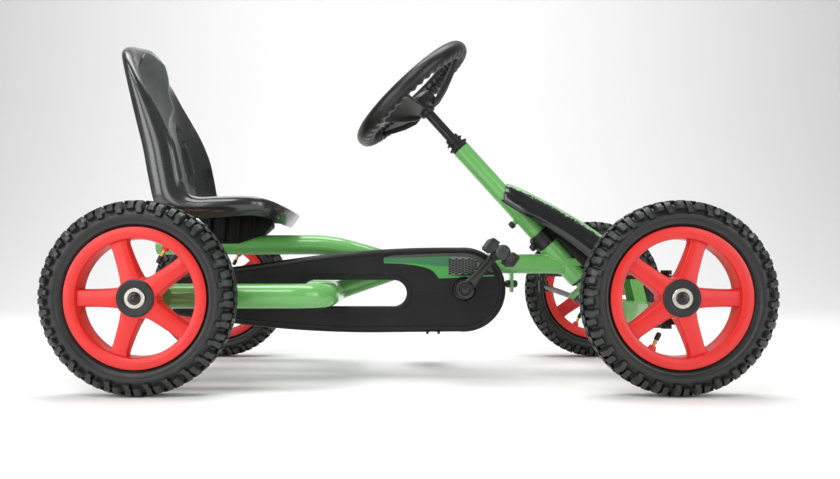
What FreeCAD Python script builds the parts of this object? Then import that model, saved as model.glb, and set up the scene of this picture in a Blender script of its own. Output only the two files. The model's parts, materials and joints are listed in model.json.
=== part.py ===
"""Pedal go-kart built from separate pieces. Millimetres; X forward, Y to the left, Z up, ground at Z 0."""
import FreeCAD, Part

import math
import os

V = FreeCAD.Vector

# ---- driving dimensions ------------------------------------------------------------------
WHEELBASE = 857.4
TRACK = 568.0                    # between wheel centre planes
TYRE_R, TYRE_W = 156.0, 57.0
RIM_R, RIM_W = 112.5, 44.0
RIM_INNER_R = 93.0
SPOKES, SPOKE_W = 5, 27.0
HUB_R, HUB_FACE, HUB_BACK = 29.0, 18.0, -28.0   # hub face and back, outward from the wheel plane
AXLE_Z = TYRE_R
REAR_X, FRONT_X = -WHEELBASE / 2, WHEELBASE / 2
REAR_SHAFT_R, STUB_R = 8.5, 6.0
RUN_FIT = 0.05                   # radial clearance of a shaft in its bearing
BEARING_R, BEARING_W = 14.0, 10.0               # bushes in the wheel hubs
COVER_R, COVER_TOP = 30.0, 20.8                 # hub cover, and how far its face stands out
AXLE_BEARING_R, AXLE_BEARING_W = 17.5, 24.0     # bearings in the rear fork

SPINE_R, SPINE_WALL = 19.0, 2.5
SPINE_Z, RAIL_Z = 212.0, 249.0   # front tube and seat rail heights
SPINE_FRONT_X, SPINE_REAR_X = 306.0, -487.0
SPINE_DIP, SPINE_RISE, SPINE_BEND = V(-18, 0, SPINE_Z), V(-150, 0, RAIL_Z), 260.0
FORK_R, FORK_Y, FORK_CROSS_X = 21.0, 200.0, -142.0
FORK_BEND, FORK_WALL = 55.0, 2.5
HOUSING_R, HOUSING_L = 33.0, 44.0
BRACE_R, BRACE_TOP = 18.0, V(16, 0, 213)        # sloping tube under the spine
TAB_X, TAB_Z, TAB_BOLT_R = 202.0, 173.0, 4.0    # tab and bolt under the spine
NOSE_REAR, NOSE_FRONT, NOSE_HALF = 308.0, 424.0, 20.0
NOSE_LOW, NOSE_HIGH = 208.0, 222.0
PLATE_HALF, PLATE_WALL = 30.0, 3.5              # folded plate at the nose

HEAD_TOP = V(104.2, 0, 436.3)    # upper end of the head tube's axis
HEAD_ANGLE = math.radians(47.7)  # how steeply the column runs down to the front
HEAD_L, HEAD_R, HEAD_WALL = 325.0, 17.3, 2.8
COLUMN_R = 10.0
WHEEL_UP = 142.4                 # steering wheel centre above the head tube
WHEEL_RING_R, WHEEL_GRIP_R = 122.0, 16.5

CRANK_X, CRANK_Z, CRANK_L = 106.0, 163.5, 89.0
CRANK_ANGLE = math.radians(49.0)
SPINDLE_R = 8.0
CRANK_BOSS_R, ARM_Y = 18.0, 79.0                # outer boss, and the arm's middle plane
SHELL_R, SHELL_HALF, SHELL_BORE = 18.0, 20.0, 13.0
PEDAL_IN, PEDAL_OUT = 92.0, 176.0               # pedal body along Y
PEDAL_L, PEDAL_T, PEDAL_TILT = 60.0, 23.0, 36.0
PEDAL_AXLE_R = 5.0
PITCH = 12.7
RING_TEETH, COG_TEETH = 29, 12
CHAIN_Y = -40.0
GUARD_NEAR, GUARD_SPLIT, GUARD_FAR = -58.0, -40.0, -22.5
GUARD_WALL = 2.5

KINGPIN_Y, KINGPIN_R = 228.0, 5.0
BEAM_X, BEAM_Z, PIVOT_R = 418.5, 122.0, 6.0
BEAM_W, BEAM_H, BEAM_WALL = 25.0, 40.0, 3.0
PIN_LOW, PIN_HIGH, PIN_HEAD = 103.0, 200.0, 7.4
PLATE_T, LOWER_PLATE, UPPER_PLATE = 6.5, 111.0, 185.0   # the knuckle's plates, at their undersides
KNUCKLE_Y = 252.0                # outer face of the knuckle's back plate
TIE_END = V(302.0, 205.0, 164.0)  # outer tie rod joint on the left side
TIE_PIN_R = 5.0

DOWN = V(math.cos(HEAD_ANGLE), 0, -math.sin(HEAD_ANGLE))   # along the column, downwards
OUT = V(math.sin(HEAD_ANGLE), 0, math.cos(HEAD_ANGLE))     # across it, up and forwards
SIDES = {"right": -1, "left": 1}


# ---- helpers -----------------------------------------------------------------------------
def rod(start, end, radius):
    """A round bar between two points."""
    run = end - start
    return Part.makeCylinder(radius, run.Length, start, run)


def pipe(start, end, outer, inner):
    """A straight round tube, its bore running through both ends."""
    return rod(start, end, outer).cut(rod(start, end, inner))


def fuse(solids):
    """One clean solid from several that touch."""
    whole = solids[0]
    for solid in solids[1:]:
        whole = whole.fuse(solid)
    return whole.removeSplitter()


def block(low, high):
    """A box between two corners."""
    size = high - low
    return Part.makeBox(size.x, size.y, size.z, low)


def on_head(along, out=0.0, side=0.0):
    """A point by its distance down the head tube, out from its axis, and to the left."""
    return HEAD_TOP + DOWN * along + OUT * out + V(0, side, 0)


def bent_wire(points, radius):
    """Straight runs joined by tangent arcs of one radius."""
    edges, here = [], points[0]
    for before, corner, after in zip(points, points[1:], points[2:]):
        to_before = (before - corner).normalize()
        to_after = (after - corner).normalize()
        half_turn = (math.pi - to_before.getAngle(to_after)) / 2
        trim = radius * math.tan(half_turn)
        first, last = corner + to_before * trim, corner + to_after * trim
        middle_way = (to_before + to_after).normalize()
        centre = corner + middle_way * (radius / math.cos(half_turn))
        edges.append(Part.LineSegment(here, first).toShape())
        edges.append(Part.Arc(first, centre - middle_way * radius, last).toShape())
        here = last
    edges.append(Part.LineSegment(here, points[-1]).toShape())
    return Part.Wire(edges)


def bent_tube(points, radius, outer, wall):
    """A bent round tube along straight runs and arcs."""
    path = bent_wire(points, radius)
    start, towards = points[0], points[1] - points[0]
    sweeps = []
    for size in (outer, outer - wall):
        ring = Part.Wire([Part.makeCircle(size, start, towards)])
        sweeps.append(path.makePipeShell([ring], True, False))
    return sweeps[0].cut(sweeps[1])


def side_plate(outline, y_low, y_high):
    """A closed outline in the XZ plane, given as a wire, made into a plate between two Y values."""
    face = Part.Face(outline)
    face.translate(V(0, y_low, 0))
    return face.extrude(V(0, y_high - y_low, 0))


def side_polygon(points, y_low, y_high):
    """The same for a list of X, Z corners."""
    corners = [V(x, 0, z) for x, z in points]
    return side_plate(Part.makePolygon(corners + corners[:1]), y_low, y_high)


def turned(profile, x, side):
    """A profile of radius and outward distance, turned round a wheel's axle."""
    corners = [V(x + r, side * (TRACK / 2 + out), AXLE_Z) for r, out in profile]
    face = Part.Face(Part.makePolygon(corners + corners[:1]))
    return face.revolve(V(x, 0, AXLE_Z), V(0, 1, 0), 360)


def axle_bar(x, side, low, high, radius):
    """A bar on a wheel's axle between two distances outward from the wheel plane."""
    start = V(x, side * (TRACK / 2 + low), AXLE_Z)
    return rod(start, V(x, side * (TRACK / 2 + high), AXLE_Z), radius)


def axle_ring(x, side, low, high, outer, inner):
    """A ring on a wheel's axle."""
    return axle_bar(x, side, low, high, outer).cut(axle_bar(x, side, low, high, inner))


# ---- wheels ------------------------------------------------------------------------------
def tyre(x, side):
    """A hollow tyre with its beads on the rim."""
    half = TYRE_W / 2
    outer = [(104.5, -17), (113, -18), (120, -25), (130, -half), (142, -27), (151, -22), (TYRE_R, -12)]
    inner = [(104.5, 12), (113, 13), (121, 21), (130, 24.5), (139, 23), (147, 19), (152, 10)]
    outer += [(r, -out) for r, out in reversed(outer)]
    inner += [(r, -out) for r, out in reversed(inner)]
    return turned(outer + inner, x, side)


def spoke(x, side, angle):
    """One straight spoke from the hub to the rim."""
    y_low, y_high = sorted(side * (TRACK / 2 + out) for out in (2.0, 18.0))
    bar = block(V(HUB_R - 6, y_low, -SPOKE_W / 2), V(RIM_INNER_R + 2, y_high, SPOKE_W / 2))
    bar.rotate(V(0, 0, 0), V(0, 1, 0), -angle)
    bar.translate(V(x, 0, AXLE_Z))
    return bar


def rim(x, side, first_spoke, bore):
    """Rim barrel with lips, five spokes and a hub."""
    half = RIM_W / 2
    barrel = [(RIM_INNER_R, -half), (RIM_R, -half), (RIM_R, -18.5), (104, -17.5), (101, -8)]
    barrel += [(r, -out) for r, out in reversed(barrel)]
    pieces = [turned(barrel, x, side), axle_bar(x, side, HUB_BACK, HUB_FACE, HUB_R)]
    pieces += [spoke(x, side, first_spoke + i * 360 / SPOKES) for i in range(SPOKES)]
    return fuse(pieces).cut(axle_bar(x, side, HUB_BACK, HUB_FACE, bore))


def hub_bearings(x, side, shaft_r):
    """Two plain bearing bushes pressed into the hub."""
    ends = ((HUB_BACK, HUB_BACK + BEARING_W), (HUB_FACE - BEARING_W, HUB_FACE))
    rings = [axle_ring(x, side, low, high, BEARING_R, shaft_r + RUN_FIT) for low, high in ends]
    return Part.makeCompound(rings)


def wheel_nut(x, side, shaft_r):
    """Washer and domed cap nut on the axle's end."""
    washer = axle_ring(x, side, 21.2, 23.0, 16.5, shaft_r)
    nut = axle_bar(x, side, 23.0, 27.5, 9.5)
    return Part.makeCompound([washer, nut])


def valve(x, side, angle):
    """Valve stem with its cap, pointing from the rim to the hub."""
    turn = math.radians(angle)
    inward = V(-math.cos(turn), 0, -math.sin(turn))
    foot = V(x, side * (TRACK / 2 - 6), AXLE_Z) - inward * RIM_INNER_R
    stem = rod(foot, foot + inward * 18, 3.2)
    cap = rod(foot + inward * 18, foot + inward * 31, 4.4)
    return fuse([stem, cap])


def wheel(parts, end, x, name, side, first_spoke, valve_angle):
    """All the pieces that one wheel is made of."""
    tag = f"{end}_{name}"
    driven = tag == "rear_right"
    shaft_r = REAR_SHAFT_R if end == "rear" else STUB_R
    body = rim(x, side, first_spoke, shaft_r if driven else shaft_r + 2)
    if not driven:
        bearings = hub_bearings(x, side, shaft_r)
        body = body.cut(axle_bar(x, side, HUB_BACK, HUB_BACK + BEARING_W, BEARING_R))
        body = body.cut(axle_bar(x, side, HUB_FACE - BEARING_W, HUB_FACE, BEARING_R))
        parts[f"bearings_{tag}"] = bearings
    parts[f"rim_{tag}"] = body
    parts[f"tyre_{tag}"] = tyre(x, side)
    parts[f"hub_cover_{tag}"] = axle_ring(x, side, HUB_FACE, COVER_TOP, COVER_R, shaft_r + 1)
    parts[f"valve_{tag}"] = valve(x, side, valve_angle)
    if end == "front":
        parts[f"wheel_nut_{tag}"] = wheel_nut(x, side, shaft_r)


# ---- frame -------------------------------------------------------------------------------
def spine_tube():
    """Frame tube from the head tube back and up to the open end of the seat rail, with its tab."""
    path = [V(SPINE_FRONT_X, 0, SPINE_Z), SPINE_DIP, SPINE_RISE, V(SPINE_REAR_X, 0, RAIL_Z)]
    tube = bent_tube(path, SPINE_BEND, SPINE_R, SPINE_WALL)
    tab = block(V(TAB_X - 3, -13, TAB_Z - 16), V(TAB_X + 3, 13, SPINE_Z - 10))
    tab = tab.cut(rod(path[0], path[1], SPINE_R - 1))
    tab = tab.cut(rod(V(TAB_X - 12, 0, TAB_Z), V(TAB_X + 12, 0, TAB_Z), TAB_BOLT_R))
    around_head = rod(on_head(-20), on_head(HEAD_L + 20), HEAD_R)
    return fuse([tube, tab]).cut(around_head)


def head_tube():
    """Sleeve that the steering column turns in."""
    return pipe(on_head(0), on_head(HEAD_L), HEAD_R, HEAD_R - HEAD_WALL)


def head_bushes():
    """Flanged bushes at both ends of the head tube."""
    bushes = []
    for end, way in ((0, 1), (HEAD_L, -1)):
        shank = rod(on_head(end), on_head(end + way * 25), HEAD_R - HEAD_WALL)
        flange = rod(on_head(end - way * 4), on_head(end), HEAD_R - 0.5)
        bore = rod(on_head(end - way * 4), on_head(end + way * 25), COLUMN_R + RUN_FIT)
        bushes.append(fuse([shank, flange]).cut(bore))
    return Part.makeCompound(bushes)


def clamp_band():
    """Band round the head tube that holds the front cover."""
    return pipe(on_head(224), on_head(250), HEAD_R + 3.4, HEAD_R)


def rear_fork():
    """U-shaped tube: both axle legs and the cross tube between them, with the bearing housings."""
    legs = [V(REAR_X + HOUSING_R - 4, s * FORK_Y, AXLE_Z) for s in (-1, 1)]
    corners = [V(FORK_CROSS_X, s * FORK_Y, AXLE_Z) for s in (-1, 1)]
    tube = bent_tube([legs[0], corners[0], corners[1], legs[1]], FORK_BEND, FORK_R, FORK_WALL)
    housings, bores = [], []
    for side in (-1, 1):
        low = V(REAR_X, side * FORK_Y - HOUSING_L / 2, AXLE_Z)
        high = V(REAR_X, side * FORK_Y + HOUSING_L / 2, AXLE_Z)
        housings.append(rod(low, high, HOUSING_R))
        bores.append(rod(low, high, AXLE_BEARING_R))
    return fuse([tube] + housings).cut(bores[0]).cut(bores[1])


def axle_bearings():
    """Bearings for the rear axle, pressed into the fork's housings."""
    rings = []
    for side in (-1, 1):
        low = V(REAR_X, side * FORK_Y - AXLE_BEARING_W / 2, AXLE_Z)
        rings.append(pipe(low, low + V(0, AXLE_BEARING_W, 0), AXLE_BEARING_R, REAR_SHAFT_R + RUN_FIT))
    return Part.makeCompound(rings)


def brace_tube():
    """Sloping tube from the spine down to the fork's cross tube."""
    tube = pipe(BRACE_TOP, V(FORK_CROSS_X, 0, AXLE_Z + 2), BRACE_R, BRACE_R - 2.5)
    spine = bent_wire([V(120, 0, SPINE_Z), SPINE_DIP, SPINE_RISE, V(-300, 0, RAIL_Z)], SPINE_BEND)
    ring = Part.Wire([Part.makeCircle(SPINE_R, V(120, 0, SPINE_Z), V(-1, 0, 0))])
    tube = tube.cut(spine.makePipeShell([ring], True, False))
    tube = tube.cut(rod(V(FORK_CROSS_X, -60, AXLE_Z), V(FORK_CROSS_X, 60, AXLE_Z), FORK_R))
    return max(tube.Solids, key=lambda solid: solid.Volume)


def bottom_bracket():
    """Crank bearing shell on a hanger under the spine."""
    left, right = V(CRANK_X, -SHELL_HALF, CRANK_Z), V(CRANK_X, SHELL_HALF, CRANK_Z)
    hanger = block(V(CRANK_X - 15, -12, CRANK_Z), V(CRANK_X + 15, 12, SPINE_Z - 8))
    hanger = hanger.cut(rod(V(0, 0, SPINE_Z), V(200, 0, SPINE_Z), SPINE_R))
    return fuse([rod(left, right, SHELL_R), hanger]).cut(rod(left, right, SHELL_BORE))


def crank_bearings():
    """Bearings at both ends of the crank shell."""
    rings = []
    for low in (-SHELL_HALF, SHELL_HALF - BEARING_W):
        start = V(CRANK_X, low, CRANK_Z)
        rings.append(pipe(start, start + V(0, BEARING_W, 0), SHELL_BORE, SPINDLE_R + RUN_FIT))
    return Part.makeCompound(rings)


def nose_tube():
    """Flat box tube from the head tube forward to the front plate."""
    wall = 2.5
    tube = block(V(NOSE_REAR, -NOSE_HALF, NOSE_LOW), V(NOSE_FRONT, NOSE_HALF, NOSE_HIGH))
    low = V(NOSE_REAR, wall - NOSE_HALF, NOSE_LOW + wall)
    tube = tube.cut(block(low, V(NOSE_FRONT, NOSE_HALF - wall, NOSE_HIGH - wall)))
    tube = tube.cut(rod(on_head(200), on_head(HEAD_L), HEAD_R)).cut(front_plate_solid())
    return max(tube.Solids, key=lambda solid: solid.BoundBox.XMax)


def front_plate_solid():
    """The front plate's outer form, without its hollow."""
    return side_polygon([(418, NOSE_HIGH), (438, NOSE_HIGH), (470, 92), (446, 92)], -PLATE_HALF, PLATE_HALF)


def front_plate():
    """Folded plate at the nose that carries the swing axle's pivot."""
    half = PLATE_HALF - PLATE_WALL
    hollow = side_polygon([(409, 226), (433, 226), (466.5, 91), (436, 91)], -half, half)
    rear_tab = block(V(418, -half, 196), V(436, half, NOSE_HIGH))
    plate = front_plate_solid().cut(hollow)
    rear_tab = rear_tab.common(front_plate_solid())
    return fuse([plate, rear_tab]).cut(rod(V(400, 0, BEAM_Z), V(480, 0, BEAM_Z), PIVOT_R))


def pivot_bolt():
    """Bolt that the front axle swings on, with its head, spacer and nut."""
    shank = rod(V(396, 0, BEAM_Z), V(468, 0, BEAM_Z), PIVOT_R)
    spacer = rod(V(431.5, 0, BEAM_Z), V(454, 0, BEAM_Z), 10)
    head = rod(V(468, 0, BEAM_Z), V(474, 0, BEAM_Z), 11)
    nut = rod(V(396, 0, BEAM_Z), V(405.5, 0, BEAM_Z), 11)
    wall = front_plate()
    return fuse([shank, spacer, head, nut]).cut(wall)


def frame_bolts():
    """Tab bolt under the spine and the two clamp bolts behind the head tube."""
    tab_bolt = [rod(V(TAB_X - 12, 0, TAB_Z), V(TAB_X + 12, 0, TAB_Z), TAB_BOLT_R)]
    for start, end in ((-14, -3), (3, 14)):
        tab_bolt.append(rod(V(TAB_X + start, 0, TAB_Z), V(TAB_X + end, 0, TAB_Z), 2 * TAB_BOLT_R))
    bolts = [fuse(tab_bolt)]
    bolts.append(rod(on_head(177, -HEAD_R - 0.5), on_head(177, -HEAD_R - 12), 6))
    bolts.append(rod(on_head(237, -HEAD_R - 3.9), on_head(237, -HEAD_R - 13), 6))
    return Part.makeCompound(bolts)


# ---- front cover -------------------------------------------------------------------------
# distance down the head tube, half width, lowest and highest distance out from its axis
COVER_STATIONS = [(120, 24, -4, 25), (177, 36, 2, 47), (268, 54, 29, 77), (319, 64, 34, 87), (373, 68, 52, 99)]


def cover_body(inset, drop):
    """The cover's form as a loft through its stations, made smaller by an inset."""
    rings = []
    for along, half, low, high in COVER_STATIONS:
        half, low, high = half - inset, low - drop, high - inset
        bevel = 0.35 * half
        ring = [(-half, low), (-half, high - bevel), (bevel - half, high), (half - bevel, high)]
        ring += [(half, high - bevel), (half, low)]
        corners = [on_head(along, out, side) for side, out in ring]
        rings.append(Part.makePolygon(corners + corners[:1]))
    return Part.makeLoft(rings, True, True)


def front_cover():
    """Thin moulded cover over the front of the head tube, open underneath."""
    inside = cover_body(3.0, 30.0)
    shell = cover_body(0, 0).cut(inside)
    shell = shell.cut(rod(on_head(60), on_head(HEAD_L), HEAD_R + 0.4))
    return max(shell.Solids, key=lambda solid: solid.Volume)


def cover_bracket():
    """Bracket between the head tube and the front cover."""
    corners = [on_head(along, out, -8) for along, out in ((200, 10), (232, 10), (232, 50), (200, 50))]
    body = Part.Face(Part.makePolygon(corners + corners[:1])).extrude(V(0, 16, 0))
    body = body.cut(rod(on_head(100), on_head(HEAD_L), HEAD_R + 3.4))
    return max(body.Solids, key=lambda solid: solid.Volume)


# ---- drive -------------------------------------------------------------------------------
def pitch_radius(teeth):
    return PITCH / (2 * math.sin(math.pi / teeth))


def sprocket(x, z, teeth, bore):
    """A toothed disc in the chain's plane."""
    tip, root = pitch_radius(teeth) + 2.6, pitch_radius(teeth) - 3.6
    corners = []
    for i in range(teeth):
        for share, radius in ((-0.36, root), (-0.12, tip), (0.12, tip), (0.36, root)):
            turn = 2 * math.pi * (i + share) / teeth
            corners.append((x + radius * math.cos(turn), z + radius * math.sin(turn)))
    disc = side_polygon(corners, CHAIN_Y - 1.2, CHAIN_Y + 1.2)
    return disc.cut(rod(V(x, CHAIN_Y - 20, z), V(x, CHAIN_Y + 20, z), bore))


def belt_plate(front_r, rear_r, y_low, y_high):
    """A plate that wraps two circles round the crank and the rear axle."""
    run = V(CRANK_X - REAR_X, 0, CRANK_Z - AXLE_Z)
    slope = math.atan2(run.z, run.x)
    spread = math.acos((front_r - rear_r) / run.Length)
    corners = []
    for x, z, radius, ways in ((CRANK_X, CRANK_Z, front_r, (1, 0, -1)), (REAR_X, AXLE_Z, rear_r, (-1, 2, 1))):
        for way in ways:
            turn = slope + (math.pi if way == 2 else way * spread)
            corners.append(V(x + radius * math.cos(turn), 0, z + radius * math.sin(turn)))
    edges = [Part.Arc(*corners[:3]), Part.LineSegment(corners[2], corners[3])]
    edges += [Part.Arc(*corners[3:]), Part.LineSegment(corners[5], corners[0])]
    return side_plate(Part.Wire([edge.toShape() for edge in edges]), y_low, y_high)


def drive_chain():
    """The chain as one closed band just outside both sets of teeth."""
    front_r, rear_r = pitch_radius(RING_TEETH) + 3.2, pitch_radius(COG_TEETH) + 3.2
    band = belt_plate(front_r + 4, rear_r + 4, CHAIN_Y - 3.5, CHAIN_Y + 3.5)
    return band.cut(belt_plate(front_r, rear_r, CHAIN_Y - 4, CHAIN_Y + 4))


def guard_outline():
    """The chain guard's edge: round ends, a crowned top and a low belly."""
    def spot(x, z):
        return V(x, 0, z)
    edges = [Part.Arc(spot(98, 242.4), spot(-60, 238.2), spot(-203, 223.5))]
    edges.append(Part.LineSegment(spot(-203, 223.5), spot(-420, 193.5)))
    edges.append(Part.Arc(spot(-420, 193.5), spot(-468, 156), spot(-428, 113)))
    edges.append(Part.LineSegment(spot(-428, 113), spot(-325, 98.5)))
    edges.append(Part.Arc(spot(-325, 98.5), spot(-203, 86.5), spot(-60, 81.8)))
    edges.append(Part.LineSegment(spot(-60, 81.8), spot(96, 83.5)))
    edges.append(Part.Arc(spot(96, 83.5), spot(185, 162.5), spot(98, 242.4)))
    return Part.Wire([edge.toShape() for edge in edges])


def slot_plate(grow, y_low, y_high):
    """The long opening in the guard that the cross tube runs through."""
    low, high, left, right = 131.0, 181.0, -176.0, -27.0
    middle, half = (low + high) / 2, (high - low) / 2 + grow
    ends = [V(left, 0, middle + half), V(left - half, 0, middle), V(left, 0, middle - half)]
    ends += [V(right, 0, middle - half), V(right + half, 0, middle), V(right, 0, middle + half)]
    edges = [Part.Arc(*ends[:3]), Part.LineSegment(ends[2], ends[3])]
    edges += [Part.Arc(*ends[3:]), Part.LineSegment(ends[5], ends[0])]
    return side_plate(Part.Wire([edge.toShape() for edge in edges]), y_low, y_high)


SCREW_SPOTS = [(-250, 138), (-250, 168), (-20, 203), (-20, 117)]


def guard_half(face_y, split_y, inner):
    """One half of the guard: a face, a rim wall, a wall round the slot and posts for the screws."""
    low, high = sorted((face_y, split_y))
    inside_low = low if inner else low + GUARD_WALL
    inside_high = high - GUARD_WALL if inner else high
    outline = guard_outline()
    inset = Part.Face(outline).makeOffset2D(-GUARD_WALL).OuterWire
    shell = side_plate(outline, low, high).cut(side_plate(inset, inside_low, inside_high))
    pieces = [shell, slot_plate(GUARD_WALL, low, high)]
    pieces += [rod(V(x, low, z), V(x, high, z), 5) for x, z in SCREW_SPOTS]
    half = fuse(pieces).cut(slot_plate(0, low - 1, high + 1))
    half = half.cut(rod(V(CRANK_X, low - 1, CRANK_Z), V(CRANK_X, high + 1, CRANK_Z), 20.5))
    half = half.cut(rod(V(REAR_X, low - 1, AXLE_Z), V(REAR_X, high + 1, AXLE_Z), 13))
    for x, z in SCREW_SPOTS:
        half = half.cut(rod(V(x, GUARD_NEAR + 6, z), V(x, GUARD_FAR + 1, z), 2.5))
    return half


def guard_screws():
    """Screws that hold the guard's halves together, from the far side."""
    screws = []
    for x, z in SCREW_SPOTS:
        shank = rod(V(x, GUARD_NEAR + 8, z), V(x, GUARD_FAR, z), 2.5)
        screws.append(fuse([shank, rod(V(x, GUARD_FAR, z), V(x, GUARD_FAR + 2.2, z), 4.5)]))
    return Part.makeCompound(screws)


def crank_end(side):
    """Where the pedal axle sits: the right arm points up and forward, the left one opposite."""
    reach = -side * CRANK_L
    return V(CRANK_X + reach * math.cos(CRANK_ANGLE), 0, CRANK_Z + reach * math.sin(CRANK_ANGLE))


def crank():
    """One-piece crank: spindle, both arms and the pedal axles."""
    centre = V(CRANK_X, 0, CRANK_Z)
    pieces = [rod(centre + V(0, -66, 0), centre + V(0, 66, 0), SPINDLE_R)]
    for side in (-1, 1):
        end = crank_end(side)
        pieces.append(rod(centre + V(0, side * 64, 0), centre + V(0, side * 86, 0), CRANK_BOSS_R))
        arm = block(V(0, -6, -9), V(CRANK_L, 6, 9))
        arm.rotate(V(0, 0, 0), V(0, 1, 0), -math.degrees(math.atan2(end.z - CRANK_Z, end.x - CRANK_X)))
        arm.translate(centre + V(0, side * ARM_Y, 0))
        pieces += [arm, rod(end + V(0, side * (ARM_Y - 6), 0), end + V(0, side * (ARM_Y + 6), 0), 11)]
        pieces.append(rod(end + V(0, side * ARM_Y, 0), end + V(0, side * (PEDAL_OUT - 4), 0), PEDAL_AXLE_R))
    return fuse(pieces)


def pedal(side):
    """Block pedal with two tread pads, free on its axle."""
    end = crank_end(side)
    y_low, y_high = sorted((side * PEDAL_IN, side * PEDAL_OUT))
    body = block(V(-PEDAL_L / 2, y_low, -PEDAL_T / 2), V(PEDAL_L / 2, y_high, PEDAL_T / 2))
    body = body.fuse(rod(V(0, y_low, 0), V(0, y_high, 0), 13))
    body.rotate(V(0, 0, 0), V(0, 1, 0), PEDAL_TILT)
    body.translate(end)
    start, stop = V(0, side * (PEDAL_IN - 2), 0), V(0, side * (PEDAL_OUT - 3), 0)
    return body.cut(rod(end + start, end + stop, PEDAL_AXLE_R + RUN_FIT)).removeSplitter()


def rear_axle():
    """Solid axle through both rear wheels."""
    reach = TRACK / 2 + 23
    return rod(V(REAR_X, -reach, AXLE_Z), V(REAR_X, reach, AXLE_Z), REAR_SHAFT_R)


def rear_axle_nuts():
    """Washers and cap nuts on both ends of the rear axle."""
    return Part.makeCompound([wheel_nut(REAR_X, side, REAR_SHAFT_R) for side in (-1, 1)])


# ---- steering ----------------------------------------------------------------------------
def steering_wheel():
    """Ring, three spokes and a hub that is dished towards the column."""
    centre = on_head(-WHEEL_UP)
    pieces = [Part.makeTorus(WHEEL_RING_R, WHEEL_GRIP_R, centre, DOWN)]
    pieces.append(rod(centre + DOWN * 10, centre + DOWN * 34, 30))
    for angle in (90, 210, 330):
        turn = math.radians(angle)
        away = V(0, 1, 0) * math.cos(turn) + OUT * math.sin(turn)
        pieces.append(rod(centre + away * 20 + DOWN * 20, centre + away * WHEEL_RING_R + DOWN * 3, 9))
    return fuse(pieces).cut(rod(on_head(-WHEEL_UP + 16), on_head(0), COLUMN_R))


def steering_column():
    """Round bar from the steering wheel to the drop arm."""
    return rod(on_head(-WHEEL_UP + 16), on_head(HEAD_L + 36), COLUMN_R)


def column_collar():
    """Collar that keeps the column from dropping through the head tube."""
    return pipe(on_head(-28), on_head(-4.6), 19, COLUMN_R)


def drop_arm():
    """Boss and plate at the column's foot that push the tie rods."""
    boss = rod(on_head(HEAD_L + 6), on_head(HEAD_L + 31), 14)
    reach = [(14, -14), (14, 14), (-14, 20), (-36, 24), (-36, -24), (-14, -20)]
    corners = [on_head(HEAD_L + 31, out, side) for out, side in reach]
    plate = Part.Face(Part.makePolygon(corners + corners[:1])).extrude(DOWN * 5)
    return fuse([boss, plate]).cut(rod(on_head(HEAD_L), on_head(HEAD_L + 36), COLUMN_R))


# ---- front axle --------------------------------------------------------------------------
def axle_beam():
    """Box beam that swings on the pivot bolt, with a kingpin tube at each end."""
    half = KINGPIN_Y - 23
    across, up = BEAM_W / 2, BEAM_H / 2
    outer = block(V(BEAM_X - across, -half, BEAM_Z - up), V(BEAM_X + across, half, BEAM_Z + up))
    inner_low = V(BEAM_X - across + BEAM_WALL, -half, BEAM_Z - up + BEAM_WALL)
    outer = outer.cut(block(inner_low, V(BEAM_X + across - BEAM_WALL, half, BEAM_Z + up - BEAM_WALL)))
    pieces = [outer, rod(V(BEAM_X - across, 0, BEAM_Z), V(BEAM_X + across, 0, BEAM_Z), 2 * PIVOT_R)]
    for side in (-1, 1):
        ends = sorted((side * (half - 6), side * KINGPIN_Y))
        pieces.append(block(V(BEAM_X - 9, ends[0], 123), V(BEAM_X + 9, ends[1], BEAM_Z + up)))
        pieces.append(rod(V(FRONT_X, side * KINGPIN_Y, 119), V(FRONT_X, side * KINGPIN_Y, 183), 13))
    beam = fuse(pieces)
    beam = beam.cut(rod(V(390, 0, BEAM_Z), V(440, 0, BEAM_Z), PIVOT_R + RUN_FIT))
    for side in (-1, 1):
        beam = beam.cut(rod(V(FRONT_X, side * KINGPIN_Y, 100), V(FRONT_X, side * KINGPIN_Y, 200), KINGPIN_R))
    return beam


def kingpins():
    """Kingpin bolts through the beam's ends, with heads and nuts."""
    pins = []
    for side in (-1, 1):
        foot = V(FRONT_X, side * KINGPIN_Y, 0)
        pin = [rod(foot + V(0, 0, PIN_LOW), foot + V(0, 0, PIN_HIGH), KINGPIN_R)]
        for low in (PIN_LOW, PIN_HIGH - PIN_HEAD):
            pin.append(rod(foot + V(0, 0, low), foot + V(0, 0, low + PIN_HEAD), 9))
        pins.append(fuse(pin))
    return Part.makeCompound(pins)


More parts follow.
